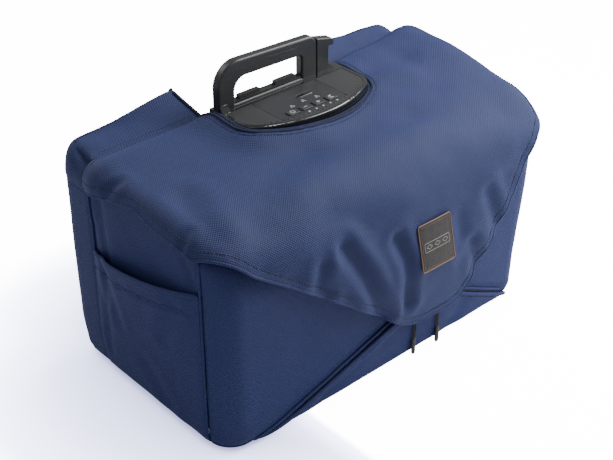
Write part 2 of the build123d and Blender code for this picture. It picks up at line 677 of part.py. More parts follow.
# -------------------------------------------------------------- carry handle
HANDLE_FRONT_Y = PANEL_BACK_Y + 0.6
handle_plane = Plane.XZ.offset(-HANDLE_FRONT_Y - HANDLE_THICKNESS)
with BuildPart() as handle:
    with BuildSketch(handle_plane) as handle_face:
        with BuildLine():
            Polyline((HANDLE_LEFT_X, TURRET_TOP_Z), (HANDLE_LEFT_X, HANDLE_TOP_Z),
                     (HANDLE_RIGHT_X, HANDLE_TOP_Z - HANDLE_SLOPE), (HANDLE_RIGHT_X, TURRET_TOP_Z),
                     close=True)
        make_face()
        fillet(handle_face.vertices().sort_by_distance((HANDLE_LEFT_X, HANDLE_TOP_Z))[0], 30)
        fillet(handle_face.vertices().sort_by_distance((HANDLE_RIGHT_X, HANDLE_TOP_Z - HANDLE_SLOPE))[0], 12)
        grip_top = HANDLE_TOP_Z - HANDLE_BAR
        with BuildLine():
            Polyline((GRIP_LEFT_X, GRIP_BOTTOM_Z), (GRIP_LEFT_X, grip_top), (GRIP_RIGHT_X, grip_top - 2),
                     (GRIP_RIGHT_X, GRIP_BOTTOM_Z), close=True)
        make_face(mode=Mode.SUBTRACT)
    extrude(amount=HANDLE_THICKNESS)
    for corner_x, corner_radius in ((GRIP_LEFT_X, 16), (GRIP_RIGHT_X, 5)):
        corner_point = (corner_x, HANDLE_FRONT_Y + HANDLE_THICKNESS / 2, grip_top)
        fillet(handle.edges().filter_by(Axis.Y).sort_by_distance(corner_point)[0], corner_radius)
    bevelled = handle.faces().filter_by(Axis.Y).edges()
    fillet(bevelled.filter_by(lambda edge: edge.center().Z > TURRET_TOP_Z + 1), HANDLE_BEVEL)
save(handle, "handle")

with BuildPart() as handle_rail:
    rail_x = (GRIP_LEFT_X + GRIP_RIGHT_X) / 2
    rail_plane = Plane(origin=(rail_x, HANDLE_FRONT_Y + HANDLE_THICKNESS / 2, GRIP_BOTTOM_Z))
    rail_length = GRIP_RIGHT_X - GRIP_LEFT_X - 2 * FIT
    with BuildSketch(rail_plane):
        Rectangle(rail_length, HANDLE_THICKNESS - 3)
    extrude(amount=RAIL_HEIGHT)
    with BuildSketch(rail_plane.offset(RAIL_HEIGHT)):
        with GridLocations(rail_length * 0.54, 0, 2, 1):
            Rectangle(rail_length * RAIL_PAD_SHARE, HANDLE_THICKNESS - 6)
    extrude(amount=RAIL_PAD_HEIGHT)
save(handle_rail, "handle_rail")

with BuildPart() as cannula_hook:
    with BuildSketch(Plane.XZ.offset(-HANDLE_FRONT_Y - HANDLE_THICKNESS)) as hook_face:
        hook_left = HANDLE_RIGHT_X + FIT
        with BuildLine():
            Polyline((hook_left, TURRET_TOP_Z), (hook_left, HOOK_TOP_Z), (HOOK_RIGHT_X, HOOK_TOP_Z - 6),
                     (HOOK_RIGHT_X, HOOK_TOP_Z - 14), (HOOK_RIGHT_X - 8, HOOK_TOP_Z - 14),
                     (HOOK_RIGHT_X - 8, TURRET_TOP_Z + 8), (HOOK_RIGHT_X, TURRET_TOP_Z + 2),
                     (HOOK_RIGHT_X, TURRET_TOP_Z), close=True)
        make_face()
        fillet(hook_face.vertices().sort_by_distance((HOOK_RIGHT_X, HOOK_TOP_Z - 6))[0], 5)
    extrude(amount=HANDLE_THICKNESS)
    bevelled = cannula_hook.faces().filter_by(Axis.Y).edges()
    fillet(bevelled.filter_by(lambda edge: edge.center().Z > TURRET_TOP_Z + 10), HOOK_BEVEL)
save(cannula_hook, "cannula_hook")

# ----------------------------------------------------- frame inside the case
INSIDE_Z = CASE_BOTTOM_Z + CASE_WALL
CHASSIS_THICKNESS = 3.0
SCREW_X = 182.0
CHASSIS_TOP_Z = INSIDE_Z + CHASSIS_THICKNESS
with BuildPart() as chassis_plate:
    with BuildSketch(Plane.XY.offset(INSIDE_Z)):
        with Locations((0, DEVICE_MIDDLE_Y)):
            RectangleRounded(DEVICE_LENGTH - 2 * CASE_WALL - 30,
                             DEVICE_BACK_Y - DEVICE_FRONT_Y - 2 * CASE_WALL - 30, 15)
    extrude(amount=CHASSIS_THICKNESS)
save(chassis_plate, "chassis_plate")

with BuildPart() as chassis_screws:
    screw_plane = Plane.XY.offset(CHASSIS_TOP_Z)
    with BuildSketch(screw_plane):
        with Locations((0, DEVICE_MIDDLE_Y)):
            with GridLocations(2 * SCREW_X, 2 * FOOT_Y, 2, 2):
                Circle(4)
    extrude(amount=2.4)
save(chassis_screws, "chassis_screws")

# ---------------------------------------------------------------- compressor
MOTOR_LENGTH = 52.0
MOTOR_RADIUS = 31.0
CYLINDER_RADIUS = PISTON_RADIUS + CRANK_THROW + 0.8
CYLINDER_TO_MOTOR = 3.2
FIRST_ROD = 22.0
CRANKCASE_LENGTH = FIRST_ROD + ROD_PITCH + CYLINDER_RADIUS + CYLINDER_WALL + CYLINDER_TO_MOTOR
CRANKCASE_RADIUS = 26.0
CASE_PLATE = 5.0
MOTOR_X0 = SHAFT_X
MOTOR_X1 = MOTOR_X0 + MOTOR_LENGTH
CRANKCASE_X0 = MOTOR_X0 - CRANKCASE_LENGTH
ROD_X = {"front": CRANKCASE_X0 + FIRST_ROD, "rear": CRANKCASE_X0 + FIRST_ROD + ROD_PITCH}
ROD_THICKNESS = 8.0
CYLINDER_START = CRANKCASE_RADIUS
CYLINDER_LENGTH = 24.0
PISTON_HEIGHT = 8.0
HEAD_THICKNESS = 9.0
SIDES = (("front", -1), ("rear", 1))


def across(x, z_dir=(1, 0, 0)):
    """Plane across the crankshaft at x."""
    return Plane(origin=(x, SHAFT_Y, SHAFT_Z), x_dir=(0, 1, 0), z_dir=z_dir)


def bore_plane(side, sign, distance):
    """Plane across one cylinder, at a distance from the shaft's axis."""
    return Plane(origin=(ROD_X[side], SHAFT_Y + sign * distance, SHAFT_Z), x_dir=(1, 0, 0),
                 z_dir=(0, sign, 0))


with BuildPart() as motor_housing:
    with BuildSketch(across(MOTOR_X0)):
        Circle(MOTOR_RADIUS)
        Circle(SHAFT_RADIUS + RUN_CLEARANCE, mode=Mode.SUBTRACT)
    extrude(amount=MOTOR_LENGTH)
    fillet(motor_housing.faces().sort_by(Axis.X)[-1].outer_wire().edges(), 4)
save(motor_housing, "motor_housing")

with BuildPart() as crankcase:
    with BuildSketch(across(CRANKCASE_X0)):
        Circle(CRANKCASE_RADIUS)
    extrude(amount=CRANKCASE_LENGTH)
    with BuildSketch(across(CRANKCASE_X0 + CASE_PLATE)):
        Circle(CRANKCASE_RADIUS - 4)
    extrude(amount=CRANKCASE_LENGTH - 2 * CASE_PLATE, mode=Mode.SUBTRACT)
    with BuildSketch(across(CRANKCASE_X0)):
        Circle(SHAFT_RADIUS + RUN_CLEARANCE)
    extrude(amount=CRANKCASE_LENGTH, mode=Mode.SUBTRACT)
    for side, sign in SIDES:
        with BuildSketch(bore_plane(side, sign, 0)):
            Rectangle(ROD_THICKNESS + 3, 4 * CRANK_THROW + 8)
        extrude(amount=CRANKCASE_RADIUS + 1, mode=Mode.SUBTRACT)
    foot_height = SHAFT_Z - CHASSIS_TOP_Z
    with BuildSketch(Plane(origin=(CRANKCASE_X0 + CRANKCASE_LENGTH / 2, SHAFT_Y, CHASSIS_TOP_Z + 12))):
        Rectangle(CRANKCASE_LENGTH, 30)
    extrude(amount=foot_height - 12 - CRANKCASE_RADIUS + 3)
save(crankcase, "crankcase")

with BuildPart() as cylinders:
    for side, sign in SIDES:
        with BuildSketch(bore_plane(side, sign, CYLINDER_START)):
            Circle(CYLINDER_RADIUS + CYLINDER_WALL)
            Circle(CYLINDER_RADIUS, mode=Mode.SUBTRACT)
        extrude(amount=CYLINDER_LENGTH)
save(cylinders, "cylinders")

with BuildPart() as cylinder_heads:
    for side, sign in SIDES:
        with BuildSketch(bore_plane(side, sign, CYLINDER_START + CYLINDER_LENGTH)):
            head_size = 2 * (CYLINDER_RADIUS + CYLINDER_WALL)
            RectangleRounded(head_size, head_size, 8)
        extrude(amount=HEAD_THICKNESS)
save(cylinder_heads, "cylinder_heads")

for side, sign in SIDES:
    with BuildPart() as piston:
        pin_y = SHAFT_Y + sign * CRANK_THROW
        pin_plane = Plane(origin=(ROD_X[side] - ROD_THICKNESS / 2, pin_y, SHAFT_Z), x_dir=(0, 1, 0),
                          z_dir=(1, 0, 0))
        with BuildSketch(pin_plane):
            Circle(CRANK_PIN_RADIUS + 4.5)
        extrude(amount=ROD_THICKNESS)
        piston_far = CYLINDER_START + CYLINDER_LENGTH - 1.5
        with BuildSketch(bore_plane(side, sign, CRANK_THROW)):
            Rectangle(ROD_THICKNESS, 9)
        extrude(amount=piston_far - PISTON_HEIGHT - CRANK_THROW + 1)
        with BuildSketch(bore_plane(side, sign, piston_far - PISTON_HEIGHT)):
            Circle(PISTON_RADIUS)
        extrude(amount=PISTON_HEIGHT)
        with BuildSketch(pin_plane):
            Circle(CRANK_PIN_RADIUS + RUN_CLEARANCE)
        extrude(amount=ROD_THICKNESS, mode=Mode.SUBTRACT)
    save(piston, f"piston_{side}")

with BuildPart() as crankshaft:
    web_plan = [CRANKCASE_X0 + CASE_PLATE + 1, ROD_X["front"] - ROD_THICKNESS / 2 - 1,
                ROD_X["front"] + ROD_THICKNESS / 2 + 1, ROD_X["rear"] - ROD_THICKNESS / 2 - 1,
                ROD_X["rear"] + ROD_THICKNESS / 2 + 1, CRANKCASE_X0 + CRANKCASE_LENGTH - CASE_PLATE - 1]
    with BuildSketch(across(CRANKCASE_X0)):
        Circle(SHAFT_RADIUS)
    extrude(amount=web_plan[1] - CRANKCASE_X0)
    with BuildSketch(across(web_plan[4])):
        Circle(SHAFT_RADIUS)
    extrude(amount=MOTOR_X1 - web_plan[4])
    for side, sign in SIDES:
        pin_start = ROD_X[side] - ROD_THICKNESS / 2 - 1
        with BuildSketch(Plane(origin=(pin_start, SHAFT_Y + sign * CRANK_THROW, SHAFT_Z), z_dir=(1, 0, 0))):
            Circle(CRANK_PIN_RADIUS)
        extrude(amount=ROD_THICKNESS + 2)
    for web_start, web_end in zip(web_plan[::2], web_plan[1::2]):
        with BuildSketch(across(web_start)):
            Circle(12)
        extrude(amount=web_end - web_start)
save(crankshaft, "crankshaft")

with BuildPart() as vibration_mounts:
    with BuildSketch(Plane.XY.offset(CHASSIS_TOP_Z)):
        with Locations((CRANKCASE_X0 + CRANKCASE_LENGTH / 2, SHAFT_Y)):
            with GridLocations(CRANKCASE_LENGTH - 16, 16, 2, 2):
                Circle(6)
    extrude(amount=12)
save(vibration_mounts, "vibration_mounts")

# ---------------------------------------------------------------- cooling fan
FAN_X = 112.0
FAN_Y = DEVICE_BACK_Y - 74.0
FAN_Z = 170.0
FAN_SIZE = 84.0
FAN_DEPTH = 24.0
FAN_BORE = 38.0
BLADE_COUNT = 7
fan_plane = Plane(origin=(FAN_X, FAN_Y, FAN_Z), x_dir=(0, 1, 0), z_dir=(1, 0, 0))
with BuildPart() as fan_shroud:
    with BuildSketch(fan_plane):
        RectangleRounded(FAN_SIZE, FAN_SIZE, 6)
        Circle(FAN_BORE, mode=Mode.SUBTRACT)
    extrude(amount=FAN_DEPTH)
    with BuildSketch(fan_plane):
        Circle(12)
        with PolarLocations(0, 3):
            with Locations((FAN_BORE / 2 + 2, 0)):
                Rectangle(FAN_BORE + 4, 5)
    extrude(amount=3)
    with BuildSketch(fan_plane):
        Circle(2)
    extrude(amount=FAN_DEPTH - 4)
save(fan_shroud, "fan_shroud")

with BuildPart() as fan_rotor:
    with BuildSketch(fan_plane.offset(5)):
        Circle(13)
    extrude(amount=FAN_DEPTH - 7)
    for blade in range(BLADE_COUNT):
        angle = 360 / BLADE_COUNT * blade
        blade_plane = Plane(origin=(FAN_X + 5 + (FAN_DEPTH - 7) / 2, FAN_Y, FAN_Z),
                            x_dir=(0, cos(radians(angle)), sin(radians(angle))), z_dir=(1, 0, 0))
        with BuildSketch(blade_plane.rotated((38, 0, 0)).offset(-0.75)):
            with Locations((23, 0)):
                RectangleRounded(24, 15, 3)
        extrude(amount=1.5)
    with BuildSketch(fan_plane.offset(5)):
        Circle(2 + RUN_CLEARANCE)
    extrude(amount=FAN_DEPTH - 9 + RUN_CLEARANCE, mode=Mode.SUBTRACT)
save(fan_rotor, "fan_rotor")

with BuildPart() as cooling_coil:
    coil_x = FAN_X + FAN_DEPTH + 12
    with BuildLine() as coil_path:
        reach = FAN_SIZE / 2 - 8
        rows = [FAN_Z - 30 + 15 * row for row in range(5)]
        points = []
        for number, row_z in enumerate(rows):
            ends = (-reach, reach) if number % 2 == 0 else (reach, -reach)
            points += [(coil_x, FAN_Y + ends[0], row_z), (coil_x, FAN_Y + ends[1], row_z)]
        FilletPolyline(*points, radius=7)
    with BuildSketch(Plane(origin=coil_path.wire() @ 0, z_dir=coil_path.wire() % 0)):
        Circle(3)
    sweep(path=coil_path.wire())
save(cooling_coil, "cooling_coil")

# ------------------------------------------------------ gas separation system
SIEVE_X = -148.0
SIEVE_Y = 42.0
SIEVE_MIDDLE_Y = DEVICE_MIDDLE_Y - 2.0
SIEVE_RADIUS = 27.0
SIEVE_LENGTH = 172.0
with BuildPart() as sieve_beds:
    with BuildSketch(Plane.XY.offset(CHASSIS_TOP_Z)):
        with Locations((SIEVE_X, SIEVE_MIDDLE_Y)):
            with GridLocations(0, 2 * SIEVE_Y, 1, 2):
                Circle(SIEVE_RADIUS)
    extrude(amount=SIEVE_LENGTH)
    fillet(sieve_beds.edges().filter_by(GeomType.CIRCLE), 5)
save(sieve_beds, "sieve_beds")

MANIFOLD_Z = CHASSIS_TOP_Z + SIEVE_LENGTH
with BuildPart() as valve_manifold:
    with BuildSketch(Plane.XY.offset(MANIFOLD_Z)):
        with Locations((SIEVE_X, SIEVE_MIDDLE_Y)):
            RectangleRounded(48, 2 * SIEVE_Y + 30, 5)
    extrude(amount=14)
save(valve_manifold, "valve_manifold")

with BuildPart() as solenoid_valves:
    with BuildSketch(Plane.XY.offset(MANIFOLD_Z + 14)):
        with Locations((SIEVE_X, SIEVE_MIDDLE_Y)):
            with GridLocations(0, 26, 1, 4):
                RectangleRounded(20, 18, 2)
    extrude(amount=16)
save(solenoid_valves, "solenoid_valves")

TANK_X = -112.0
TANK_Y = DEVICE_BACK_Y - 36.0
TANK_Z = 185.0
TANK_RADIUS = 24.0
TANK_LENGTH = 120.0
with BuildPart() as product_tank:
    with BuildSketch(Plane(origin=(TANK_X, TANK_Y, TANK_Z), z_dir=(1, 0, 0))):
        Circle(TANK_RADIUS)
    extrude(amount=TANK_LENGTH)
    fillet(product_tank.edges().filter_by(GeomType.CIRCLE), 8)
save(product_tank, "product_tank")

# --------------------------------------------------------- electronics, power
with BuildPart() as main_board:
    with BuildSketch(Plane(origin=(40, DEVICE_FRONT_Y + 12, 120), x_dir=(1, 0, 0), z_dir=(0, 1, 0))):
        Rectangle(210, 120)
    extrude(amount=1.6)
save(main_board, "main_board")

BATTERY_X = 120.0
BATTERY_LENGTH = 120.0
BATTERY_DEPTH = 120.0
BATTERY_HEIGHT = 62.0
with BuildPart() as battery_pack:
    with BuildSketch(Plane.XY.offset(CHASSIS_TOP_Z + 3)):
        with Locations((BATTERY_X, 0)):
            RectangleRounded(BATTERY_LENGTH, BATTERY_DEPTH, 6)
    extrude(amount=BATTERY_HEIGHT)
save(battery_pack, "battery_pack")
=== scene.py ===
"""Looks of the portable oxygen concentrator in its carry bag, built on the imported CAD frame.

Lengths in the helpers are millimetres in the row frame; meshes are written in metres.
"""

import json
import math

import bpy
import numpy as np
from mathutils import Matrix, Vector, noise
from mathutils.geometry import delaunay_2d_cdt


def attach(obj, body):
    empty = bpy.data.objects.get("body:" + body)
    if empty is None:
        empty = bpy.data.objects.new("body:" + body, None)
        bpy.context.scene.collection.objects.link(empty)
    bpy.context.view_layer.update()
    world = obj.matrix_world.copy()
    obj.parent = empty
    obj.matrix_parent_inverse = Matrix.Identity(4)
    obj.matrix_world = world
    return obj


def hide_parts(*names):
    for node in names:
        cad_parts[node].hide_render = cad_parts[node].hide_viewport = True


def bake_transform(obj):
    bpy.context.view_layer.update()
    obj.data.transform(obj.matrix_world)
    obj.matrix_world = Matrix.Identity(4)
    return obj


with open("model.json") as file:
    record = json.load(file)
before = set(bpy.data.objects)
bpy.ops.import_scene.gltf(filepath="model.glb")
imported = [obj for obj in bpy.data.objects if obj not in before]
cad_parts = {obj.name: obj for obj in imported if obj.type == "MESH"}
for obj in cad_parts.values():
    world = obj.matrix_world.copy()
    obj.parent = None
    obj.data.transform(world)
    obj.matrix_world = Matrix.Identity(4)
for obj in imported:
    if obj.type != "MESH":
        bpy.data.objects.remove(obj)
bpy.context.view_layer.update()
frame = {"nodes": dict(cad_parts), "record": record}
scene = bpy.context.scene
NODES = frame["nodes"]
ROOT = "bag_and_case"
FINE = 4.2      # spacing of the cloth grids


# ------------------------------------------------------------------ materials
class Shader:
    """A node material with one Principled surface and short ways to add nodes."""

    def __init__(self, name):
        self.material = bpy.data.materials.new(name)
        self.material.use_nodes = True
        self.tree = self.material.node_tree
        self.surface = self.tree.nodes["Principled BSDF"]

    def node(self, kind, inputs=None, **settings):
        made = self.tree.nodes.new(kind)
        for key, value in settings.items():
            setattr(made, key, value)
        for key, value in (inputs or {}).items():
            if isinstance(value, bpy.types.NodeSocket):
                self.tree.links.new(value, made.inputs[key])
            else:
                made.inputs[key].default_value = value
        return made

    def math(self, operation, a, b=0.0):
        return self.node("ShaderNodeMath", {0: a, 1: b}, operation=operation).outputs[0]

    def noise(self, vector, scale, detail=3.0, roughness=0.55):
        made = self.node("ShaderNodeTexNoise", {"Vector": vector, "Scale": scale, "Detail": detail,
                                                "Roughness": roughness})
        return made.outputs["Fac"]

    def ramp(self, value, stops):
        made = self.node("ShaderNodeValToRGB", {"Fac": value})
        ends = made.color_ramp.elements
        for spot, (place, colour) in zip(ends, (stops[0], stops[-1])):
            spot.position, spot.color = place, (*colour, 1)
        for place, colour in stops[1:-1]:
            ends.new(place).color = (*colour, 1)
        return made.outputs["Color"]

    def bump(self, height, strength, distance):
        made = self.node("ShaderNodeBump", {"Height": height, "Strength": strength, "Distance": distance})
        self.link(made.outputs["Normal"], "Normal")

    def link(self, output, name):
        self.tree.links.new(output, self.surface.inputs[name])

    def set(self, **values):
        for key, value in values.items():
            self.surface.inputs[key.replace("_", " ")].default_value = value
        return self


def scaled(colour, factor):
    return tuple(min(1.0, c * factor) for c in colour)


def woven(name, colour, pitch=0.0030, contrast=0.42, sheen=0.3):
    """Fine dobby cloth: rows of small raised dots, set half a step over in every other row."""
    s = Shader(name)
    uv = s.node("ShaderNodeTexCoord").outputs["UV"]
    split = s.node("ShaderNodeSeparateXYZ", {0: uv})
    turn = math.tau / pitch
    warp = s.math("SINE", s.math("MULTIPLY", split.outputs[0], turn))
    weft = s.math("SINE", s.math("MULTIPLY", split.outputs[1], turn))
    dots = s.math("MULTIPLY_ADD", s.math("MULTIPLY", warp, weft), 0.5)
    dots.node.inputs[2].default_value = 0.5
    grain = s.noise(uv, 2600.0, 1.0)
    height = s.math("ADD", dots, s.math("MULTIPLY", grain, 0.45))
    cloud = s.noise(uv, 14.0, 2.0)
    dark, light = scaled(colour, 1 - contrast), scaled(colour, 1 + contrast)
    threads = s.ramp(height, [(0.15, dark), (0.75, colour), (1.0, light)])
    faded = s.node("ShaderNodeHueSaturation", {"Color": threads, "Saturation": 1.0,
                                               "Value": s.math("MULTIPLY_ADD", cloud, 0.16)})
    faded.inputs["Value"].links[0].from_node.inputs[2].default_value = 0.92
    s.link(faded.outputs["Color"], "Base Color")
    s.bump(height, 0.7, 0.0005)
    s.set(Roughness=0.66, Sheen_Weight=sheen, Sheen_Roughness=0.45, Specular_IOR_Level=0.25)
    s.surface.inputs["Sheen Tint"].default_value = (*scaled(colour, 3.0), 1)
    return s.material


def moulded(name, colour, roughness=0.45, grain=0.4, scale=1500.0, coat=0.0):
    """Moulded plastic with a fine spark-eroded texture."""
    s = Shader(name)
    place = s.node("ShaderNodeTexCoord").outputs["Object"]
    fine = s.noise(place, scale, 2.0)
    wear = s.noise(place, 25.0, 3.0)
    s.link(s.ramp(wear, [(0.3, scaled(colour, 0.9)), (0.7, scaled(colour, 1.1))]), "Base Color")
    rough = s.math("MULTIPLY_ADD", wear, 0.12)
    rough.node.inputs[2].default_value = roughness - 0.06
    s.link(rough, "Roughness")
    s.bump(fine, grain, 0.00012)
    s.set(Specular_IOR_Level=0.5, Coat_Weight=coat, Coat_Roughness=0.12)
    return s.material


def metal(name, colour, roughness=0.35, stretch=(1, 1, 1)):
    s = Shader(name)
    place = s.node("ShaderNodeMapping", {"Vector": s.node("ShaderNodeTexCoord").outputs["Object"],
                                         "Scale": stretch}).outputs[0]
    brushed = s.noise(place, 420.0, 3.0)
    s.link(s.ramp(brushed, [(0.25, scaled(colour, 0.82)), (0.75, scaled(colour, 1.06))]), "Base Color")
    s.bump(brushed, 0.15, 0.0001)
    s.set(Metallic=1.0, Roughness=roughness)
    return s.material


NAVY = (0.0185, 0.0275, 0.0900)
CLOTH = woven("navy_twill", NAVY)
# painted shade: the walls, pockets, lower front and piping use a darker, bluer copy of the flap's navy that stands in
# for the shade on the bag's sides
SHADED_CLOTH = woven("navy_twill_painted_shade", (0.0155, 0.0245, 0.0960), sheen=0.15)
TRIM = woven("navy_binding", scaled(NAVY, 0.5), pitch=0.0011, contrast=0.2)
DARK_TRIM = woven("dark_binding", (0.012, 0.016, 0.030), pitch=0.0012, contrast=0.3, sheen=0.2)
THREAD = moulded("navy_thread", scaled(NAVY, 0.62), roughness=0.6, grain=0.2)
LINING = woven("lining", (0.030, 0.036, 0.052), pitch=0.0013, contrast=0.2, sheen=0.15)
BLACK = moulded("case_charcoal", (0.019, 0.020, 0.021), roughness=0.36, grain=0.5)
GLOSS = moulded("gloss_black", (0.010, 0.010, 0.011), roughness=0.16, grain=0.05, coat=0.6)
PANEL = moulded("panel_charcoal", (0.028, 0.029, 0.030), roughness=0.45, grain=0.6)
OVERLAY = moulded("overlay_charcoal", (0.026, 0.027, 0.029), roughness=0.38, grain=0.35)
BUTTON = moulded("button_charcoal", (0.030, 0.031, 0.033), roughness=0.4, grain=0.3)
PRINT = moulded("printed_symbol", (0.62, 0.63, 0.64), roughness=0.5, grain=0.1)
LENS = moulded("light_lens", (0.50, 0.52, 0.54), roughness=0.15, grain=0.05, coat=0.5)
PULL = moulded("pull_black", (0.022, 0.022, 0.023), roughness=0.36, grain=0.2)
ZIP_BLACK = moulded("zip_black", (0.020, 0.021, 0.024), roughness=0.33, grain=0.15)
RUBBER = moulded("rubber", (0.02, 0.02, 0.02), roughness=0.8, grain=0.5)
PORT = moulded("port_black", (0.016, 0.016, 0.017), roughness=0.25, grain=0.1)
BOARD = moulded("solder_mask", (0.010, 0.085, 0.035), roughness=0.35, grain=0.1)
FOAM = moulded("filter_foam", (0.035, 0.035, 0.038), roughness=0.95, grain=1.0, scale=700.0)
BATTERY = moulded("battery_case", (0.040, 0.041, 0.045), roughness=0.55, grain=0.5)
FAN = moulded("fan_black", (0.015, 0.015, 0.016), roughness=0.4, grain=0.2)
ALLOY = metal("cast_alloy", (0.62, 0.63, 0.65), roughness=0.42)
STEEL = metal("turned_steel", (0.56, 0.56, 0.57), roughness=0.28, stretch=(1, 12, 12))


def cord_material():
    """Braid: two sets of strands crossing round the cord."""
    s = Shader("braided_cord")
    place = s.node("ShaderNodeTexCoord").outputs["Object"]
    split = s.node("ShaderNodeSeparateXYZ", {0: place})
    along = s.math("MULTIPLY", split.outputs[2], 5200.0)
    round_it = s.math("MULTIPLY", s.math("ADD", split.outputs[0], split.outputs[1]), 5200.0)
    braid = s.math("MULTIPLY", s.math("SINE", s.math("ADD", along, round_it)),
                   s.math("SINE", s.math("SUBTRACT", along, round_it)))
    s.link(s.ramp(braid, [(0.0, (0.008, 0.008, 0.009)), (1.0, (0.035, 0.035, 0.038))]), "Base Color")
    s.bump(braid, 0.5, 0.0002)
    s.set(Roughness=0.75)
    return s.material


def leather_material():
    s = Shader("patch_leather")
    place = s.node("ShaderNodeTexCoord").outputs["Object"]
    cells = s.node("ShaderNodeTexVoronoi", {"Vector": place, "Scale": 900.0}).outputs["Distance"]
    cloud = s.noise(place, 120.0, 4.0)
    s.link(s.ramp(cloud, [(0.25, (0.010, 0.0085, 0.0075)), (0.8, (0.024, 0.019, 0.016))]), "Base Color")
    s.bump(s.math("ADD", cells, cloud), 0.6, 0.0003)
    s.set(Roughness=0.5, Specular_IOR_Level=0.5)
    return s.material


def mesh_material():
    """Spacer mesh: open hexagonal holes in a dark knitted face."""
    s = Shader("vent_mesh")
    uv = s.node("ShaderNodeTexCoord").outputs["UV"]
    holes = s.node("ShaderNodeTexVoronoi", {"Vector": uv, "Scale": 420.0, "Randomness": 0.08}).outputs["Distance"]
    s.link(s.ramp(holes, [(0.25, (0.004, 0.005, 0.007)), (0.42, (0.022, 0.026, 0.040)),
                          (0.7, (0.040, 0.047, 0.070))]), "Base Color")
    s.bump(holes, 0.9, 0.0008)
    s.set(Roughness=0.85)
    return s.material


CORD, LEATHER, VENT = cord_material(), leather_material(), mesh_material()
BROWN = moulded("burnished_edge", (0.19, 0.095, 0.050), roughness=0.55, grain=0.6)
FOIL = moulded("foil_line", (0.30, 0.27, 0.24), roughness=0.4, grain=0.2)


# ------------------------------------------------------------------- geometry
def smooth(a, b, x):
    t = np.clip((np.asarray(x, float) - a) / (b - a), 0, 1)
    return t * t * (3 - 2 * t)


def cloud(points, size, seed):
    """Smooth noise from -1 to 1 at points in mm."""
    off = Vector((seed * 17.3, seed * 5.1, seed * 9.7))
    return np.array([noise.noise(Vector(p) / size + off) for p in points])


def filleted(points, radii, step=1.5, closed=False):
    """Polyline through the points with round corners."""
    points = [np.array(p, float) for p in points]
    count = len(points)
    out = []
    for i, point in enumerate(points):
        radius = radii[i]
        if not radius or (not closed and i in (0, count - 1)):
            out.append(point)
            continue
        before, after = points[i - 1], points[(i + 1) % count]
        a = (before - point) / np.linalg.norm(before - point)
        b = (after - point) / np.linalg.norm(after - point)
        half = math.acos(np.clip(a @ b, -1, 1)) / 2
        reach = radius / math.tan(half)
        centre = point + (a + b) / np.linalg.norm(a + b) * radius / math.sin(half)
        start, end = point + a * reach - centre, point + b * reach - centre
        sweep = math.acos(np.clip(start @ end / radius ** 2, -1, 1))
        steps = max(2, int(sweep * radius / step))
        for k in range(steps + 1):
            t = k / steps
            v = (math.sin((1 - t) * sweep) * start + math.sin(t * sweep) * end) / max(math.sin(sweep), 1e-6)
            out.append(centre + v)
    if closed:
        out.append(out[0])
    return np.array(out)


def spaced(line, gap):
    """The polyline with points at even steps."""
    line = np.asarray(line, float)
    lengths = np.r_[0, np.cumsum(np.linalg.norm(np.diff(line, axis=0), axis=1))]
    steps = max(2, int(round(lengths[-1] / gap)))
    at = np.linspace(0, lengths[-1], steps + 1)
    return np.stack([np.interp(at, lengths, line[:, k]) for k in range(line.shape[1])], axis=1)


class Path:
    """A plane curve by its length, with the normal on its left or right."""

    def __init__(self, line, side=1.0):
        self.points = spaced(line, 1.0)
        self.length = float(np.linalg.norm(np.diff(self.points, axis=0), axis=1).sum())
        self.at_points = np.linspace(0, self.length, len(self.points))
        along = np.gradient(self.points, axis=0)
        for _ in range(3):
            along[1:-1] = (along[:-2] + along[1:-1] + along[2:]) / 3
        along /= np.linalg.norm(along, axis=1)[:, None]
        self.normals = side * np.stack([along[:, 1], -along[:, 0]], axis=1)

    def __call__(self, s):
        return [np.interp(s, self.at_points, a[:, k]) for a in (self.points, self.normals) for k in (0, 1)]


def looped(line):
    """The line with its first point again at the end."""
    return np.vstack([line, line[:1]])


def signed_area(ring):
    return 0.5 * np.sum(ring[:, 0] * np.roll(ring[:, 1], -1) - np.roll(ring[:, 0], -1) * ring[:, 1])


def inside(points, ring):
    """Which 2-D points are inside the closed ring."""
    x, y = points[:, 0][:, None], points[:, 1][:, None]
    x0, y0 = ring[:, 0], ring[:, 1]
    x1, y1 = np.roll(x0, -1), np.roll(y0, -1)
    cross = ((y0 > y) != (y1 > y)) & (x < (x1 - x0) * (y - y0) / (y1 - y0 + 1e-12) + x0)
    return cross.sum(axis=1) % 2 == 1


def distance_to(points, line, closed=False):
    """Distance of 2-D points from a polyline."""
    line = np.asarray(line, float)
    if closed:
        line = looped(line)
    best = np.full(len(points), 1e9)
    for a, b in zip(line[:-1], line[1:]):
        ab = b - a
        t = np.clip(((points - a) @ ab) / max(ab @ ab, 1e-9), 0, 1)
        best = np.minimum(best, np.linalg.norm(points - a - t[:, None] * ab, axis=1))
    return best


def build(name, points, faces, material, uv=None, body=ROOT, angle=45.0):
    """Mesh from mm points, smooth shaded, riding on a body (or on none if body is None)."""
    mesh = bpy.data.meshes.new(name)
    mesh.from_pydata([tuple(p) for p in np.asarray(points, float) * 0.001], [], [tuple(f) for f in faces])
    mesh.validate()
    if uv is not None:
        layer = mesh.uv_layers.new(name="cloth")
        corners = np.zeros(len(mesh.loops), np.int32)
        mesh.loops.foreach_get("vertex_index", corners)
        layer.data.foreach_set("uv", (np.asarray(uv, float)[corners] * 0.001).ravel())
    for m in material if isinstance(material, (list, tuple)) else [material]:
        mesh.materials.append(m)
    mesh.shade_smooth()
    mesh.set_sharp_from_angle(angle=math.radians(angle))
    obj = bpy.data.objects.new(name, mesh)
    scene.collection.objects.link(obj)
    if body:
        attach(obj, body)
    return obj


def fold_depth(flat, lines):
    """How deep the folds sink the face at flat points; their shoulders rise a little."""
    sink = np.zeros(len(flat))
    for line, width, depth in lines:
        far = distance_to(flat, line)
        sink += depth * np.exp(-(far / width) ** 2) - 0.4 * depth * np.exp(-((far - 2.1 * width) / width) ** 2)
    return sink


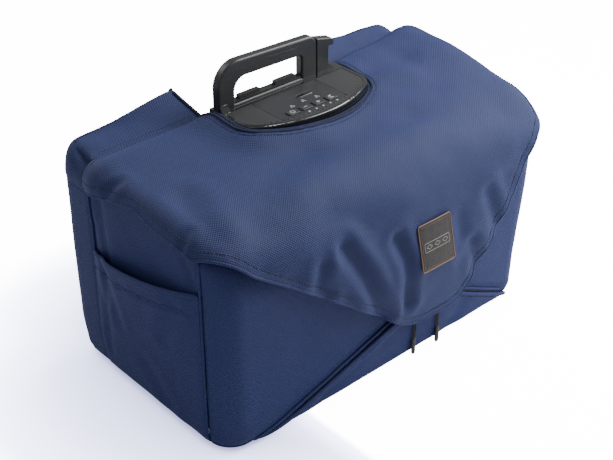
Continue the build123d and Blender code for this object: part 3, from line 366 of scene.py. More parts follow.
def cloth(name, outline, surface, thick, material, holes=(), spacing=None, body=ROOT, edge=0.35, hem=3.0,
          valleys=(), stitch_groove=0.0, groove_at=8.0):
    """Closed piece of cloth cut to a flat outline (mm) and laid on a surface.
    surface(u, v) gives points and outward normals. The edge thins over the hem width."""
    spacing = spacing or FINE
    rings = [spaced(looped(ring), spacing)[:-1] for ring in (outline, *holes)]
    low, high = rings[0].min(0), rings[0].max(0)
    rows = []
    for j, v in enumerate(np.arange(low[1], high[1], spacing * 0.866)):
        shift = 0.5 * spacing * (j % 2)
        us = np.arange(low[0] + shift, high[0], spacing)
        rows.append(np.stack([us, np.full(len(us), v)], axis=1))
    grid = np.vstack(rows)
    keep = inside(grid, rings[0])
    for ring in rings[1:]:
        keep &= ~inside(grid, ring)
    grid = grid[keep]
    away = np.min([distance_to(grid, ring, True) for ring in rings], axis=0)
    grid = grid[away > 0.55 * spacing]
    flat = np.vstack([*rings, grid])
    edges, start = [], 0
    for ring in rings:
        n = len(ring)
        edges += [(start + k, start + (k + 1) % n) for k in range(n)]
        start += n
    out = delaunay_2d_cdt([Vector(p) for p in flat], edges, [], 0, 1e-5)
    flat = np.array([tuple(p) for p in out[0]])
    tris = np.array([t for t in out[2] if len(t) == 3])
    middle = flat[tris].mean(axis=1)
    good = inside(middle, rings[0])
    for ring in rings[1:]:
        good &= ~inside(middle, ring)
    a, b, c = (flat[tris[:, k]] for k in range(3))
    area2 = (b[:, 0] - a[:, 0]) * (c[:, 1] - a[:, 1]) - (b[:, 1] - a[:, 1]) * (c[:, 0] - a[:, 0])
    good &= np.abs(area2) > 1e-4
    tris = tris[good]
    flip = area2[good] < 0
    tris[flip] = tris[flip][:, ::-1]
    used = np.unique(tris)
    remap = np.full(len(flat), -1)
    remap[used] = np.arange(len(used))
    flat, tris = flat[used], remap[tris]
    d = np.min([distance_to(flat, ring, True) for ring in rings], axis=0)
    p, n = surface(flat[:, 0], flat[:, 1])
    sink = fold_depth(flat, valleys)
    if stitch_groove:
        sink += stitch_groove * np.exp(-((d - groove_at) / 1.6) ** 2)
    t = thick(flat, d) if callable(thick) else np.full(len(flat), float(thick))
    rounding = t * edge * (1 - np.clip(d / hem, 0, 1)) ** 2
    top = p - n * (sink + rounding)[:, None]
    bottom = p - n * (np.maximum(t - rounding * 0.6, 0.2) + sink)[:, None]
    count = len(flat)
    pairs = dict.fromkeys((tri[k], tri[(k + 1) % 3]) for tri in tris for k in range(3))
    rim = [e for e in pairs if (e[1], e[0]) not in pairs]
    faces = [tuple(t3) for t3 in tris] + [(c3 + count, b3 + count, a3 + count) for a3, b3, c3 in tris]
    faces += [(e[1], e[0], e[0] + count, e[1] + count) for e in rim]
    sample = np.cross(top[tris[:, 1]] - top[tris[:, 0]], top[tris[:, 2]] - top[tris[:, 0]])
    if (sample * n[tris[:, 0]]).sum() < 0:
        faces = [tuple(reversed(f)) for f in faces]
    return build(name, np.vstack([top, bottom]), faces, material, uv=np.vstack([flat, flat]), body=body)


def stack_faces(rows, m):
    """Faces of a closed solid made of stacked outlines with m points each."""
    faces = [(i * m + k, i * m + (k + 1) % m, (i + 1) * m + (k + 1) % m, (i + 1) * m + k)
             for i in range(rows - 1) for k in range(m)]
    return faces + [tuple(range(m))[::-1], tuple((rows - 1) * m + k for k in range(m))]


def tube(name, line, radius, material, body=ROOT, sides=8, flat=1.0, normals=None, closed=False):
    """Round or flattened bead along 3-D points."""
    line = np.asarray(line, float)
    along = np.gradient(line, axis=0)
    if closed:
        along = np.roll(line, -1, axis=0) - np.roll(line, 1, axis=0)
    along /= np.linalg.norm(along, axis=1)[:, None] + 1e-12
    if normals is None:
        normals = np.tile([0.13, 0.21, 0.97], (len(line), 1))
    across = np.cross(along, normals)
    across /= np.linalg.norm(across, axis=1)[:, None] + 1e-12
    up = np.cross(across, along)
    points, faces, uv = [], [], []
    lengths = np.r_[0, np.cumsum(np.linalg.norm(np.diff(line, axis=0), axis=1))]
    for i, p in enumerate(line):
        r = radius
        if not closed and i in (0, len(line) - 1):
            r = radius * 0.55
        for k in range(sides):
            w = math.tau * k / sides
            points.append(p + across[i] * math.cos(w) * r + up[i] * math.sin(w) * r * flat)
            uv.append((lengths[i], w * radius))
    n = len(line)
    for i in range(n if closed else n - 1):
        j = (i + 1) % n
        for k in range(sides):
            m = (k + 1) % sides
            faces.append((i * sides + k, i * sides + m, j * sides + m, j * sides + k))
    if not closed:
        faces.append(tuple(range(sides))[::-1])
        faces.append(tuple((n - 1) * sides + k for k in range(sides)))
    return build(name, points, faces, material, uv=uv, body=body, angle=60)


def stitches(name, line, normals, material, body=ROOT, pitch=3.6, long=2.5, radius=0.42, lift=0.05):
    """Row of separate thread stitches lying on a line of surface points."""
    line, normals = np.asarray(line, float), np.asarray(normals, float)
    lengths = np.r_[0, np.cumsum(np.linalg.norm(np.diff(line, axis=0), axis=1))]
    starts = np.arange(0.5, lengths[-1] - long, pitch)
    points, faces = [], []

    def spot(at):
        p = np.array([np.interp(at, lengths, line[:, k]) for k in range(3)])
        n = np.array([np.interp(at, lengths, normals[:, k]) for k in range(3)])
        return p, n / np.linalg.norm(n)

    profile = ((0.0, 0.35, -0.5), (0.18, 0.85, 0.1), (0.5, 1.0, 0.3), (0.82, 0.85, 0.1), (1.0, 0.35, -0.5))
    for s0 in starts:
        a, na = spot(s0)
        b, _ = spot(s0 + long)
        along = (b - a) / np.linalg.norm(b - a)
        side = np.cross(along, na)
        side /= np.linalg.norm(side)
        up = np.cross(side, along)
        base = len(points)
        for t, r, h in profile:
            c = a + (b - a) * t + up * (lift + h * radius)
            for k in range(6):
                w = math.tau * k / 6
                points.append(c + radius * r * (side * math.cos(w) + up * math.sin(w)))
        for i in range(4):
            for k in range(6):
                m = (k + 1) % 6
                faces.append((base + i * 6 + k, base + i * 6 + m, base + i * 6 + 6 + m, base + i * 6 + 6 + k))
        faces.append(tuple(base + k for k in range(6))[::-1])
        faces.append(tuple(base + 24 + k for k in range(6)))
    return build(name, points, faces, material, body=body, angle=80)


def on(surface, line, lift=0.0, gap=2.0):
    """Points and normals along a flat polyline laid on a surface."""
    line = spaced(line, gap)
    p, n = surface(line[:, 0], line[:, 1])
    return p + n * lift, n


def inset_ring(outline, gap):
    """The closed outline moved inwards by a gap, in 2-D."""
    ring = spaced(looped(outline), 2.0)[:-1]
    along = np.roll(ring, -1, axis=0) - np.roll(ring, 1, axis=0)
    along /= np.linalg.norm(along, axis=1)[:, None]
    inward = np.stack([-along[:, 1], along[:, 0]], axis=1)
    moved = ring + inward * (gap if signed_area(ring) > 0 else -gap)
    return moved[distance_to(moved, ring, True) > gap * 0.93]


# ------------------------------------------------------------ shape of the bag
HALF, FRONT, BACK = 244.0, -125.0, 143.6
SEAM_Y, BACK_SEAM_Y, CREASE_Y = -93.0, 90.0, 97.0
FLAP_LIFT = 4.8            # flap's outer face above the bag's top line
FLAP_THICK = 3.4
WALL_HEIGHT = 245.0
SEAM_TOP = 236.0
TURRET = (-87.0, 98.0, 20.0, -9.0, 28.0)    # left, right, corner y, nose y, corner radius


def roof_z(y):
    return 258.0 + 0.045 * (np.asarray(y, float) - FRONT)


def bottom_tuck(z, radius=19.0):
    z = np.clip(z, 0, radius)
    return radius - np.sqrt(radius ** 2 - (radius - z) ** 2)


def lean(z, radius=78.0):
    """How far the front wall leans back at its soft top bend."""
    z = np.clip(z - 180.0, 0, radius * 0.93)
    return radius - np.sqrt(radius ** 2 - z ** 2)


def settle(p):
    """The bag stands a little narrower at its right foot than at its shoulders."""
    p = np.array(p, float)
    p[..., 0] -= 15.0 * (1 - smooth(25, 215, p[..., 2])) * smooth(60, 244, p[..., 0])
    return p


def back_swell(x, y, z):
    """The back corners are filled out more than the rest."""
    near = smooth(-10, 115, y) * smooth(150, 236, np.abs(x))
    return 5.0 * near * smooth(0, 60, z)


def top_roll(z, start=246.0, radius=16.0):
    """The side walls roll inwards above their straight part."""
    z = np.clip(z - start, 0, radius * 0.97)
    return radius - np.sqrt(radius ** 2 - z ** 2)


class Wall:
    """Upright wall over a plan curve: u runs along the plan, v is the height."""

    def __init__(self, plan, radii, bulge, ripple, seed, tuck=True, fold=()):
        self.path = Path(filleted(plan, radii), 1.0)
        self.bulge, self.ripple, self.seed, self.tuck, self.fold = bulge, ripple, seed, tuck, fold

    def __call__(self, u, v, out=0.0):
        u, v = np.asarray(u, float), np.asarray(v, float)
        x, y, nx, ny = self.path(np.clip(u, 0, self.path.length))
        share = u / self.path.length
        across, up = (np.sin(np.pi * np.clip(part, 0, 1)) ** 0.8 for part in (share, v / WALL_HEIGHT))
        swell = self.bulge * across * up
        swell = swell + back_swell(x, y, v)
        swell += self.ripple * cloud(np.stack([u, v * 0.8, 0 * u], 1), 62.0, self.seed)
        swell += 0.4 * self.ripple * cloud(np.stack([u, v, 0 * u], 1), 24.0, self.seed + 3)
        for line, width, depth in self.fold:
            swell -= depth * np.exp(-(distance_to(np.stack([u, v], 1), line) / width) ** 2)
        swell = swell - bottom_tuck(v) * self.tuck - top_roll(v) * (np.abs(nx) > 0.9)
        x, y = x + nx * (swell + out), y + ny * (swell + out)
        front = np.clip((SEAM_Y - y) / (SEAM_Y - FRONT), 0, 1.2)
        y = y + lean(v) * front
        return settle(np.stack([x, y, v], 1)), np.stack([nx, ny, -0.12 * np.exp(-v / 9.0)], 1)


WALLS = {
    "front": Wall([(-HALF, SEAM_Y), (-HALF, FRONT), (HALF, FRONT), (HALF, SEAM_Y)], (0, 32, 32, 0), 1.5, 0.9, 1),
    "left": Wall([(-HALF, BACK_SEAM_Y), (-HALF, SEAM_Y)], (0, 0), 3.0, 1.0, 2,
                 fold=(([(18, 236), (26, 150), (16, 40)], 7, 2.2), ([(3, 200), (9, 110)], 6, 1.4),
                       ([(160, 232), (171, 206)], 6, 1.6))),
    "right": Wall([(HALF, SEAM_Y), (HALF, BACK_SEAM_Y)], (0, 0), 3.0, 1.0, 4),
    "back": Wall([(HALF, BACK_SEAM_Y), (HALF, BACK), (-HALF, BACK), (-HALF, BACK_SEAM_Y)], (0, 20, 20, 0), 0.0,
                 0.8, 5),
}


def seam_thick(full, pinch=0.5, reach=9.0):
    """Padded thickness that thins towards the seams."""
    return lambda flat, d: full * (1 - pinch * (1 - np.clip(d / reach, 0, 1)) ** 2)


def rectangle(u0, u1, v0, v1, radius=0.0):
    corners = [(u0, v0), (u1, v0), (u1, v1), (u0, v1)]
    return filleted(corners, [radius] * 4, closed=True)[:-1] if radius else np.array(corners, float)


def declare_sheet(outline):
    outline = np.asarray(outline, float)


# ---------------------------------------------------------------- bag: walls
FRONT_LEN, BACK_LEN = WALLS["front"].path.length, WALLS["back"].path.length
SIDE_LEN = BACK_SEAM_Y - SEAM_Y


def wall_piece(name, wall, outline, node, holes=()):
    piece = cloth(name, outline, wall, seam_thick(5.6), SHADED_CLOTH, holes=holes, edge=0.5, hem=5.0)
    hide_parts(node)


wall_piece("bag_front", WALLS["front"], rectangle(0.4, FRONT_LEN - 0.4, 4, SEAM_TOP), "front_panel")
# the side walls' tops fall towards the front, under the flap
side_outline = np.array([(0.4, 4), (SIDE_LEN - 0.4, 4), (SIDE_LEN - 0.4, 241), (SIDE_LEN - 22, 249),
                         (SIDE_LEN - 60, 257), (0.4, 260)])
wall_piece("bag_left_side", WALLS["left"], side_outline, "left_side_panel")
wall_piece("bag_right_side", WALLS["right"], (side_outline * [-1, 1] + [SIDE_LEN, 0])[::-1], "right_side_panel")

# the back, with the notch for the handle and the vent opening
BACK_MIDDLE = BACK_LEN / 2
NOTCH = (BACK_MIDDLE - 104.0, BACK_MIDDLE + 93.0, 208.0)     # u runs from +X to -X
back_outline = filleted([(0.4, 4), (BACK_LEN - 0.4, 4), (BACK_LEN - 0.4, 238), (NOTCH[1], 238),
                         (NOTCH[1], NOTCH[2]), (NOTCH[0], NOTCH[2]), (NOTCH[0], 238), (0.4, 238)],
                        [0, 0, 0, 5, 12, 12, 5, 0], closed=True)[:-1]
VENT_U, VENT_V = BACK_MIDDLE - 128.0, 110.0
vent_hole = rectangle(VENT_U - 50, VENT_U + 50, VENT_V - 45, VENT_V + 45, 12)
wall_piece("bag_back", WALLS["back"], back_outline, "back_panel", holes=[vent_hole])
vent = cloth("rear_vent", rectangle(VENT_U - 52, VENT_U + 52, VENT_V - 47, VENT_V + 47, 13),
             lambda u, v: WALLS["back"](u, v, -3.0), 1.6, VENT)
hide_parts("rear_vent_mesh")
p, n = on(WALLS["back"], looped(vent_hole))
tube("vent_binding", p[:-1] + n[:-1] * 0.2, 2.2, TRIM, normals=n[:-1], flat=0.6, closed=True)
p, n = on(WALLS["back"], inset_ring(rectangle(VENT_U - 56, VENT_U + 56, VENT_V - 51, VENT_V + 51, 16), 1.0))
stitches("vent_stitches", p, n, THREAD)

notch_line = filleted([(NOTCH[0], 237), (NOTCH[0], NOTCH[2]), (NOTCH[1], NOTCH[2]), (NOTCH[1], 237)], [0, 12, 12, 0])
p, n = on(WALLS["back"], notch_line)
tube("notch_binding", p - n * 2.6, 4.0, DARK_TRIM, normals=n, flat=0.9)

# base, a stiff padded board in cloth
base_ring = filleted([(-230, -107), (216, -107), (216, 126), (-230, 126)], [20] * 4, closed=True)[:-1]


def base_surface(x, y):
    r = np.clip(distance_to(np.stack([x, y], 1), base_ring, True) / 14, 0, 1)
    z = 5.0 * (1 - r) ** 2
    return np.stack([x, y, z], 1), np.tile([0.0, 0.0, -1.0], (len(x), 1))


base = cloth("bag_base", base_ring, base_surface, 7.0, LINING, spacing=7.0)
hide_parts("base_panel")

# piping in the upright seams and round the foot
for name, wall, u in (("front_left", "left", SIDE_LEN), ("front_right", "right", 0.0),
                      ("back_left", "left", 0.0), ("back_right", "right", SIDE_LEN)):
    line = np.stack([np.full(60, u), np.linspace(6, SEAM_TOP, 60)], 1)
    p, n = on(WALLS[wall], line, gap=3.0)
    corner = np.array([math.copysign(0.8, p[0, 0]), -0.35 if "front" in name else 0.35, 0])
    tube(f"seam_{name}", p - n * 0.1, 1.7, SHADED_CLOTH, normals=np.tile(corner, (len(p), 1)))
for key, length in (("front", FRONT_LEN), ("left", SIDE_LEN), ("right", SIDE_LEN), ("back", BACK_LEN)):
    line = np.stack([np.linspace(0, length, 60), np.full(60, 7.0)], 1)
    p, n = on(WALLS[key], line, gap=3.0)
    tube(f"foot_piping_{key}", p - n * 0.4, 1.6, SHADED_CLOTH, normals=n)

# -------------------------------------------------------------- side pockets


def pocket_surface(wall, mirrored):
    def surface(u, v):
        share = np.clip(u / SIDE_LEN, 0, 1)
        mouth = mouth_v(share if not mirrored else 1 - share)
        up = np.clip(v / mouth, 0, 1)
        out = 2.4 + 10.0 * np.sin(np.pi * share) ** 0.75 * up ** 2.2 + 2.5 * np.sin(np.pi * share) * up
        p, n = WALLS[wall](u, v, 0.0)
        n = n / np.linalg.norm(n, axis=1)[:, None]
        return p + n * out[:, None], n
    return surface


def mouth_v(share):
    """Height of the mouth, from the back seam (0) to the front seam (1)."""
    return 165.0 + 33.0 * share - 3.0 * np.sin(np.pi * share)


for wall, node, mirrored in (("left", "left_pocket", False), ("right", "right_pocket", True)):
    shares = np.linspace(0, 1, 60)
    tops = mouth_v(shares if not mirrored else 1 - shares)
    outline = np.vstack([[(1.0, 5.0), (SIDE_LEN - 1.0, 5.0)],
                         np.stack([shares * (SIDE_LEN - 2) + 1, tops], 1)[::-1]])
    surface = pocket_surface(wall, mirrored)
    band = np.stack([shares * (SIDE_LEN - 2) + 1, (tops if not mirrored else tops[::-1]) - 21.0], 1)[::4]
    creases = [(band, 2.4, 1.5), ([(30, 150), (44, 95)], 8, 1.6), ([(150, 172), (128, 120)], 9, 1.5),
               ([(90, 60), (120, 22)], 10, 1.4)]
    if mirrored:
        creases = [([(SIDE_LEN - a, b) for a, b in line], w, d) for line, w, d in creases]
    pocket = cloth(f"bag_{node}", outline, surface, 2.2, SHADED_CLOTH, hem=2.0, edge=0.5, valleys=creases)
    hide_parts(node)
    declare_sheet(outline)
    edge_line = np.stack([shares * (SIDE_LEN - 2) + 1, tops], 1)
    p, n = on(surface, edge_line, gap=3.0)
    tube(f"hem_{node}", p - n * 1.1 + np.array([0, 0, -0.6]), 2.5, SHADED_CLOTH, normals=n, flat=0.85)
    low_line = edge_line[2:-2] - np.array([0, 19.0])
    p, n = on(surface, low_line)
    stitches(f"hem_stitches_{node}", p, n, THREAD)

# --------------------------------------------------- lower front panel, zips
APEX = np.array([50.0, 86.0])
FEET = {"left": np.array([-170.0, 16.0]), "right": np.array([190.0, 25.0])}


def front_wall(x, z, out=0.0):
    """The front wall by X and Z."""
    u = FRONT_LEN / 2 + np.asarray(x, float)
    return WALLS["front"](u, z, out)


def straight(start, end):
    return np.stack([np.linspace(a, b, 90) for a, b in zip(start, end)], 1)


def lower_outline():
    left, right = FEET["left"], FEET["right"]
    drop = np.array([0, -5.6])
    points = [left + drop + [-15, -5.0], APEX + drop, right + drop + [26, -11.5], (right[0] + 20, 5),
              (left[0] - 10, 5)]
    return filleted(points, [0, 14, 0, 4, 4], closed=True)[:-1]


lower = lower_outline()


def lower_surface(x, z):
    d = distance_to(np.stack([x, z], 1), lower, True)
    out = 2.6 + 2.6 * np.exp(-((d - 5.0) / 5.0) ** 2) + 1.2 * smooth(0, 30, d)
    p, n = front_wall(x, z, 0.0)
    return p + n * out[:, None], n


lower_panel = cloth("lower_front", lower, lower_surface, 2.8, SHADED_CLOTH, hem=4.0, edge=0.6,
                    valleys=[([(-60, 50), (-110, 22)], 12, 1.2), ([(120, 38), (90, 12)], 12, 1.0)])
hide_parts("lower_front_panel")
declare_sheet(lower)
for side, foot in FEET.items():
    away = (foot - APEX) / np.linalg.norm(foot - APEX)
    down = np.array([away[1], -away[0]]) if side == "right" else np.array([-away[1], away[0]])
    if down[1] > 0:
        down = -down
    start, end = APEX + away * 3, foot + away * (36 if side == "left" else 15)
    strip = np.vstack([start, end, end + down * 7, start + down * 7])
    tape = cloth(f"zip_tape_{side}", strip, lambda x, z: front_wall(x, z, 1.6), 1.2, TRIM, spacing=3.2, hem=1.0)
    if side == "left":
        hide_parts("zip_tapes")
    line = spaced(np.vstack([start + down * 3.4, end - away * 7 + down * 3.4]), 1.35)
    p, n = front_wall(line[:, 0], line[:, 1], 2.1)
    points, faces = [], []
    d3 = np.gradient(p, axis=0)
    d3 /= np.linalg.norm(d3, axis=1)[:, None]
    for i, (c, nn, t) in enumerate(zip(p, n, d3)):      # interlocked teeth, turn about
        across = np.cross(nn, t)
        c = c + across * (0.75 if i % 2 else -0.75)
        k = len(points)
        for dx, dy, dz in ((-1, -1, 0), (1, -1, 0), (1, 1, 0), (-1, 1, 0), (-0.7, -0.7, 1), (0.7, -0.7, 1),
                           (0.7, 0.7, 1), (-0.7, 0.7, 1)):
            points.append(c + t * dx * 0.5 + across * dy * 1.15 + nn * (dz * 0.9 - 0.1))
        faces += [(k, k + 3, k + 2, k + 1), (k + 4, k + 5, k + 6, k + 7)]
        faces += [(k + a, k + b, k + b + 4, k + a + 4) for a, b in ((0, 1), (1, 2), (2, 3), (3, 0))]
    build(f"zip_teeth_{side}", points, faces, ZIP_BLACK)
    welt = straight(start + down * 0.4, end + down * 0.4)
    p, n = front_wall(welt[:, 0], welt[:, 1], 1.6)
    tube(f"zip_welt_{side}", p, 1.9, SHADED_CLOTH, normals=n, flat=0.8)
    rolled = straight(APEX + away * 8 + down * 6.4, foot + away * 32 + down * 6.4)
    p, n = front_wall(rolled[:, 0], rolled[:, 1], 4.2)
    tube(f"lower_welt_{side}", p, 2.5, SHADED_CLOTH, normals=n, flat=0.8)
    top_row = straight(start + down * -6.5, end + down * -6.5)
    p, n = front_wall(top_row[:, 0], top_row[:, 1], 0.0)
    stitches(f"zip_stitches_{side}", p, n, THREAD)

# ------------------------------------------------------------------- the flap
FLAP_PATH = Path(filleted([(CREASE_Y, 268.0), (-122, 258.14), (-138, 125), (-133, 30)], (0, 66, 60, 0)), 1.0)
FRONT_PART = FLAP_PATH.at_points > 120


def s_of(z):
    """Length along the flap's middle line at a height on its front."""
    z_front = FLAP_PATH.points[FRONT_PART, 1] + FLAP_LIFT * FLAP_PATH.normals[FRONT_PART, 1]
    return np.interp(-np.asarray(z, float), -z_front, FLAP_PATH.at_points[FRONT_PART])


def cut_line(margin, step=1.5):
    """The D-shaped cut in the flap, from the crease round the nose and back."""
    left, right, corner_y, nose_y, radius = TURRET
    left, right = left - margin, right + margin
    middle, half = (left + right) / 2, (right - left) / 2
    rise = corner_y - (nose_y - margin)
    r = (half ** 2 + rise ** 2) / (2 * rise)
    sweep = math.asin(half / r)
    arc = [(middle + r * math.sin(a), CREASE_Y - (nose_y - margin + r - r * math.cos(a)))
           for a in np.linspace(-sweep, sweep, 15)]
    return filleted([(left, 0.0), *arc, (right, 0.0)],
                    [0, radius + margin] + [0] * 13 + [radius + margin, 0], step)


D_LINE = cut_line(0.0, 6.0)
PATCH_S = float(s_of(157.0))


def flap_surface(w, s):
    w, s = np.asarray(w, float), np.asarray(s, float)
    y, z, ny, nz = FLAP_PATH(np.clip(s, 0, FLAP_PATH.length))
    radius = np.where(w > 0, 13.0, 20.0) + np.where(w > 0, 4.0, 8.0) * smooth(110, 200, s)
    flat_half = 248.0 - radius
    over = np.abs(w) - flat_half
    turn = np.clip(over / radius, 0, np.pi / 2)
    x = np.where(over > 0, flat_half + radius * np.sin(turn), np.abs(w))
    drop = radius * (1 - np.cos(turn)) + np.maximum(over - radius * np.pi / 2, 0)
    spots = np.stack([w, s, 0 * w], 1)
    loose = smooth(120, 260, s)
    lift = FLAP_LIFT + (1.1 + 1.0 * loose) * cloud(spots, 85.0, 11) + (0.4 + 0.55 * loose) * cloud(spots, 33.0, 12)
    lift = lift + 0.12 * cloud(spots, 12.0, 13) - 3.0 * np.exp(-(s / 7.0) ** 2)
    lift = lift + (2.0 - 1.2 * np.clip(w / 200.0, -1, 1)) * np.exp(-((s - 24.0) / 13.0) ** 2)
    lower = (s - PATCH_S) / 26.0
    lift = lift + 1.8 * np.tanh(lower) * np.exp(-((w - 46.0) / 48.0) ** 2 - (lower / 2.2) ** 2)
    hug = 8.5 - 4.5 * np.clip(w / 90.0, -1, 1)
    lift = lift + hug * np.exp(-(distance_to(np.stack([w, s], 1), D_LINE) / 25.0) ** 2) * smooth(-10, 40, s)
    sign = np.sign(w)
    n = np.stack([sign * np.sin(turn), np.cos(turn) * ny, np.cos(turn) * nz], 1)
    p = np.stack([sign * x, y - drop * ny, z - drop * nz], 1)
    p = p + n * lift[:, None]
    shoulder = (10.0 * smooth(60, 160, w) * (1 - smooth(60, 190, s))
                + 8.0 * smooth(165, 225, w) * (1 - smooth(70, 170, s)))
    p[..., 2] += shoulder * (1 - turn / (np.pi / 2)) ** 0.7
    return p, n


def front_line(points):
    """Flat places on the flap's front, from X and Z."""
    return [(x, float(s_of(z))) for x, z in points]


def flap_outline():
    left_front = [(-204, 221), (-176, 201), (-148, 181), (-98, 144), (-50, 107), (-18, 81), (6, 62), (22, 55.5),
                  (45, 53), (72, 54), (95, 58.5), (108, 70), (121, 92), (141, 117), (162, 142), (183, 168), (206, 198)]
    front = front_line(left_front)
    left = [(-266, 0), (-264, 20), (-255, 60), (-250, 91), (-254, 134), (-253, 179), (-250, float(s_of(255)))]
    right = [(244, float(s_of(236))), (248, 185), (253, 130), (257, 80), (260, 30), (262, 0)]
    line = left + front + right
    return filleted(line, [0] + [9] * (len(line) - 2) + [0], step=2.0)


D_MARGIN = 1.6
outer_edge = flap_outline()
d_cut = cut_line(D_MARGIN)
flap_ring = np.vstack([outer_edge, d_cut[::-1]])
folds = [
    (front_line([(-85, 203), (-60, 160), (-47, 130), (-30, 90)]), 9.0, 6.0),
    (front_line([(-9, 182), (2, 152), (7, 92)]), 8.0, 5.0),
    (front_line([(-118, 196), (-124, 175), (-115, 160)]), 8.0, 3.2),
    (front_line([(109, 132), (120, 97)]), 8.0, 3.6),
    (front_line([(139, 183), (154, 134)]), 9.0, 3.4),
    (front_line([(88, 170), (96, 118)]), 10.0, 2.0),
    (front_line([(-85, 232), (-40, 205), (-3, 178)]), 20.0, 2.4),
    ([(-206, 121), (-222, 160), (-224, 190)], 13.0, 3.0),
    ([(-252, 48), (-238, 56)], 5.0, 2.0), ([(-254, 176), (-238, 168)], 5.0, 1.8),
    (front_line([(-190, 214), (-160, 200)]), 14.0, 2.2),
    ([(96, 150), (140, 175), (190, 190)], 18.0, 2.0), ([(110, 90), (150, 130)], 16.0, 1.8),
    ([(100, 62), (128, 52), (170, 60)], 12.0, 1.6), ([(-60, 135), (-110, 150), (-170, 190)], 20.0, 2.0),
    (front_line([(200, 205), (170, 190)]), 13.0, 2.2),
]


def flap_thick(flat, d):
    return FLAP_THICK * (0.55 + 0.45 * smooth(0, 6, d))


flap = cloth("flap", flap_ring, flap_surface, flap_thick, CLOTH, body=None, valleys=folds, hem=3.5, edge=0.45,
             stitch_groove=0.9, groove_at=8.5)
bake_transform(flap)
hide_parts("flap_lid", "flap_front")
declare_sheet(flap_ring)


def folded(w, s):
    """The flap's outer face with its folds."""
    p, n = flap_surface(w, s)
    return p - n * fold_depth(np.stack([w, s], 1), folds)[:, None], n


def edge_row(gap, first, last):
    """Line inside the flap's outer edge."""
    line = spaced(outer_edge, 2.0)
    along = np.gradient(line, axis=0)
    along /= np.linalg.norm(along, axis=1)[:, None]
    inner = line + np.stack([-along[:, 1], along[:, 0]], 1) * -gap
    if not inside(inner[len(inner) // 2][None], flap_ring)[0]:
        inner = line + np.stack([-along[:, 1], along[:, 0]], 1) * gap
    inner = inner[distance_to(inner, line) > gap * 0.93]
    return inner[int(first * len(inner)):int(last * len(inner))]


row = edge_row(8.5, 0.0, 1.0)
p, n = folded(row[:, 0], row[:, 1])
flap_stitches = stitches("flap_stitches", p - n * 0.45, n, THREAD, body=None, pitch=3.8, long=2.7, radius=0.55)
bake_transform(flap_stitches)
hem_line = spaced(outer_edge, 2.5)[2:-2]
p, n = folded(hem_line[:, 0], hem_line[:, 1])
hem = tube("flap_hem", p - n * 1.6, 1.75, CLOTH, body=None, normals=n)
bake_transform(hem)
for side, (a, b) in {"left": (-240, -96), "right": (106, 240)}.items():
    line = np.stack([np.linspace(a, b, 70), np.full(70, 5.5)], 1)
    p, n = folded(line[:, 0], line[:, 1])
    stitches(f"crease_stitches_{side}", p - n * 0.2, n, TRIM, body="flap_lid")

# double piping round the opening for the control turret
for name, margin, radius, lift in (("inner", 2.0, 2.2, -1.2), ("outer", 6.8, 1.8, 0.1)):
    line = spaced(cut_line(margin), 2.5)
    line[:, 1] = np.maximum(line[:, 1], 0.3)
    p, n = flap_surface(line[:, 0], line[:, 1])
    piping = tube(f"opening_piping_{name}", p + n * lift, radius, TRIM, body="flap_lid", normals=n, flat=0.9)
    if name == "inner":
        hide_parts("opening_binding")
line = spaced(cut_line(13.0), 2.0)
line = line[line[:, 1] > 3]
p, n = folded(line[:, 0], line[:, 1])
stitches("opening_stitches", p, n, THREAD, body="flap_lid")

# ------------------------------------------------------- leather patch on flap
PATCH = (46.0, 157.0, 51.0, 55.0)
px, pz, pw, ph = PATCH
patch_s = (float(s_of(pz + ph / 2)), float(s_of(pz - ph / 2)))
patch_ring = rectangle(px - pw / 2, px + pw / 2, patch_s[0], patch_s[1], 1.6)


def patch_surface(w, s):
    """Flat leather lying on the flap: the folds are bridged."""
    middle = FLAP_PATH(np.array([sum(patch_s) / 2]))
    tilt = math.radians(6.5)
    ny, nz = middle[2][0], middle[3][0]
    ny, nz = ny * math.cos(tilt) + nz * math.sin(tilt), nz * math.cos(tilt) - ny * math.sin(tilt)
    below = s - sum(patch_s) / 2
    n = np.tile([0.0, ny, nz], (len(s), 1))
    bow = 0.5 * np.sin(np.pi * (w - px + pw / 2) / pw)
    p = np.stack([w, middle[0][0] - below * nz, middle[1][0] + below * ny], 1)
    return p + n * (FLAP_LIFT + patch_rest + bow)[:, None], n


patch_rest = 0.0
spots = np.stack(np.meshgrid(np.linspace(px - pw / 2, px + pw / 2, 14), np.linspace(*patch_s, 14)), -1).reshape(-1, 2)
plane, plane_n = patch_surface(spots[:, 0], spots[:, 1])
patch_rest = float(np.quantile(np.sum((folded(spots[:, 0], spots[:, 1])[0] - plane) * plane_n, axis=1), 0.97)) + 1.9


patch = cloth("leather_patch", patch_ring, patch_surface, 1.8, LEATHER, body="flap_front", spacing=3.0, hem=1.5,
              stitch_groove=0.35, groove_at=2.8)
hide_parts("flap_patch")
edge = spaced(looped(patch_ring), 1.5)[:-1]
p, n = patch_surface(edge[:, 0], edge[:, 1])
tube("patch_edge", p - n * 0.75, 0.72, BROWN, body="flap_front", normals=n, closed=True)
ring = inset_ring(patch_ring, 2.8)
p, n = patch_surface(ring[:, 0], ring[:, 1])
stitches("patch_stitches", p - n * 0.25, n, BROWN, body="flap_front", pitch=2.6, long=1.9, radius=0.33)


def foil(name, line):
    line = np.array(line, float) + np.array([px, sum(patch_s) / 2])
    line = spaced(looped(line), 0.8)[:-1]
    p, n = patch_surface(line[:, 0], line[:, 1])
    tube(name, p, 0.28, FOIL, body="flap_front", normals=n, flat=0.5, sides=6, closed=True)


foil("patch_frame", rectangle(-19.5, 19.5, -5.2, 5.2, 0.8))
for k, at in enumerate((-12.5, 0.0, 12.5)):       # a plain row of three lozenges
    foil(f"patch_lozenge_{k}", [(at - 4.4, 0), (at, -2.6), (at + 4.4, 0), (at, 2.6)])

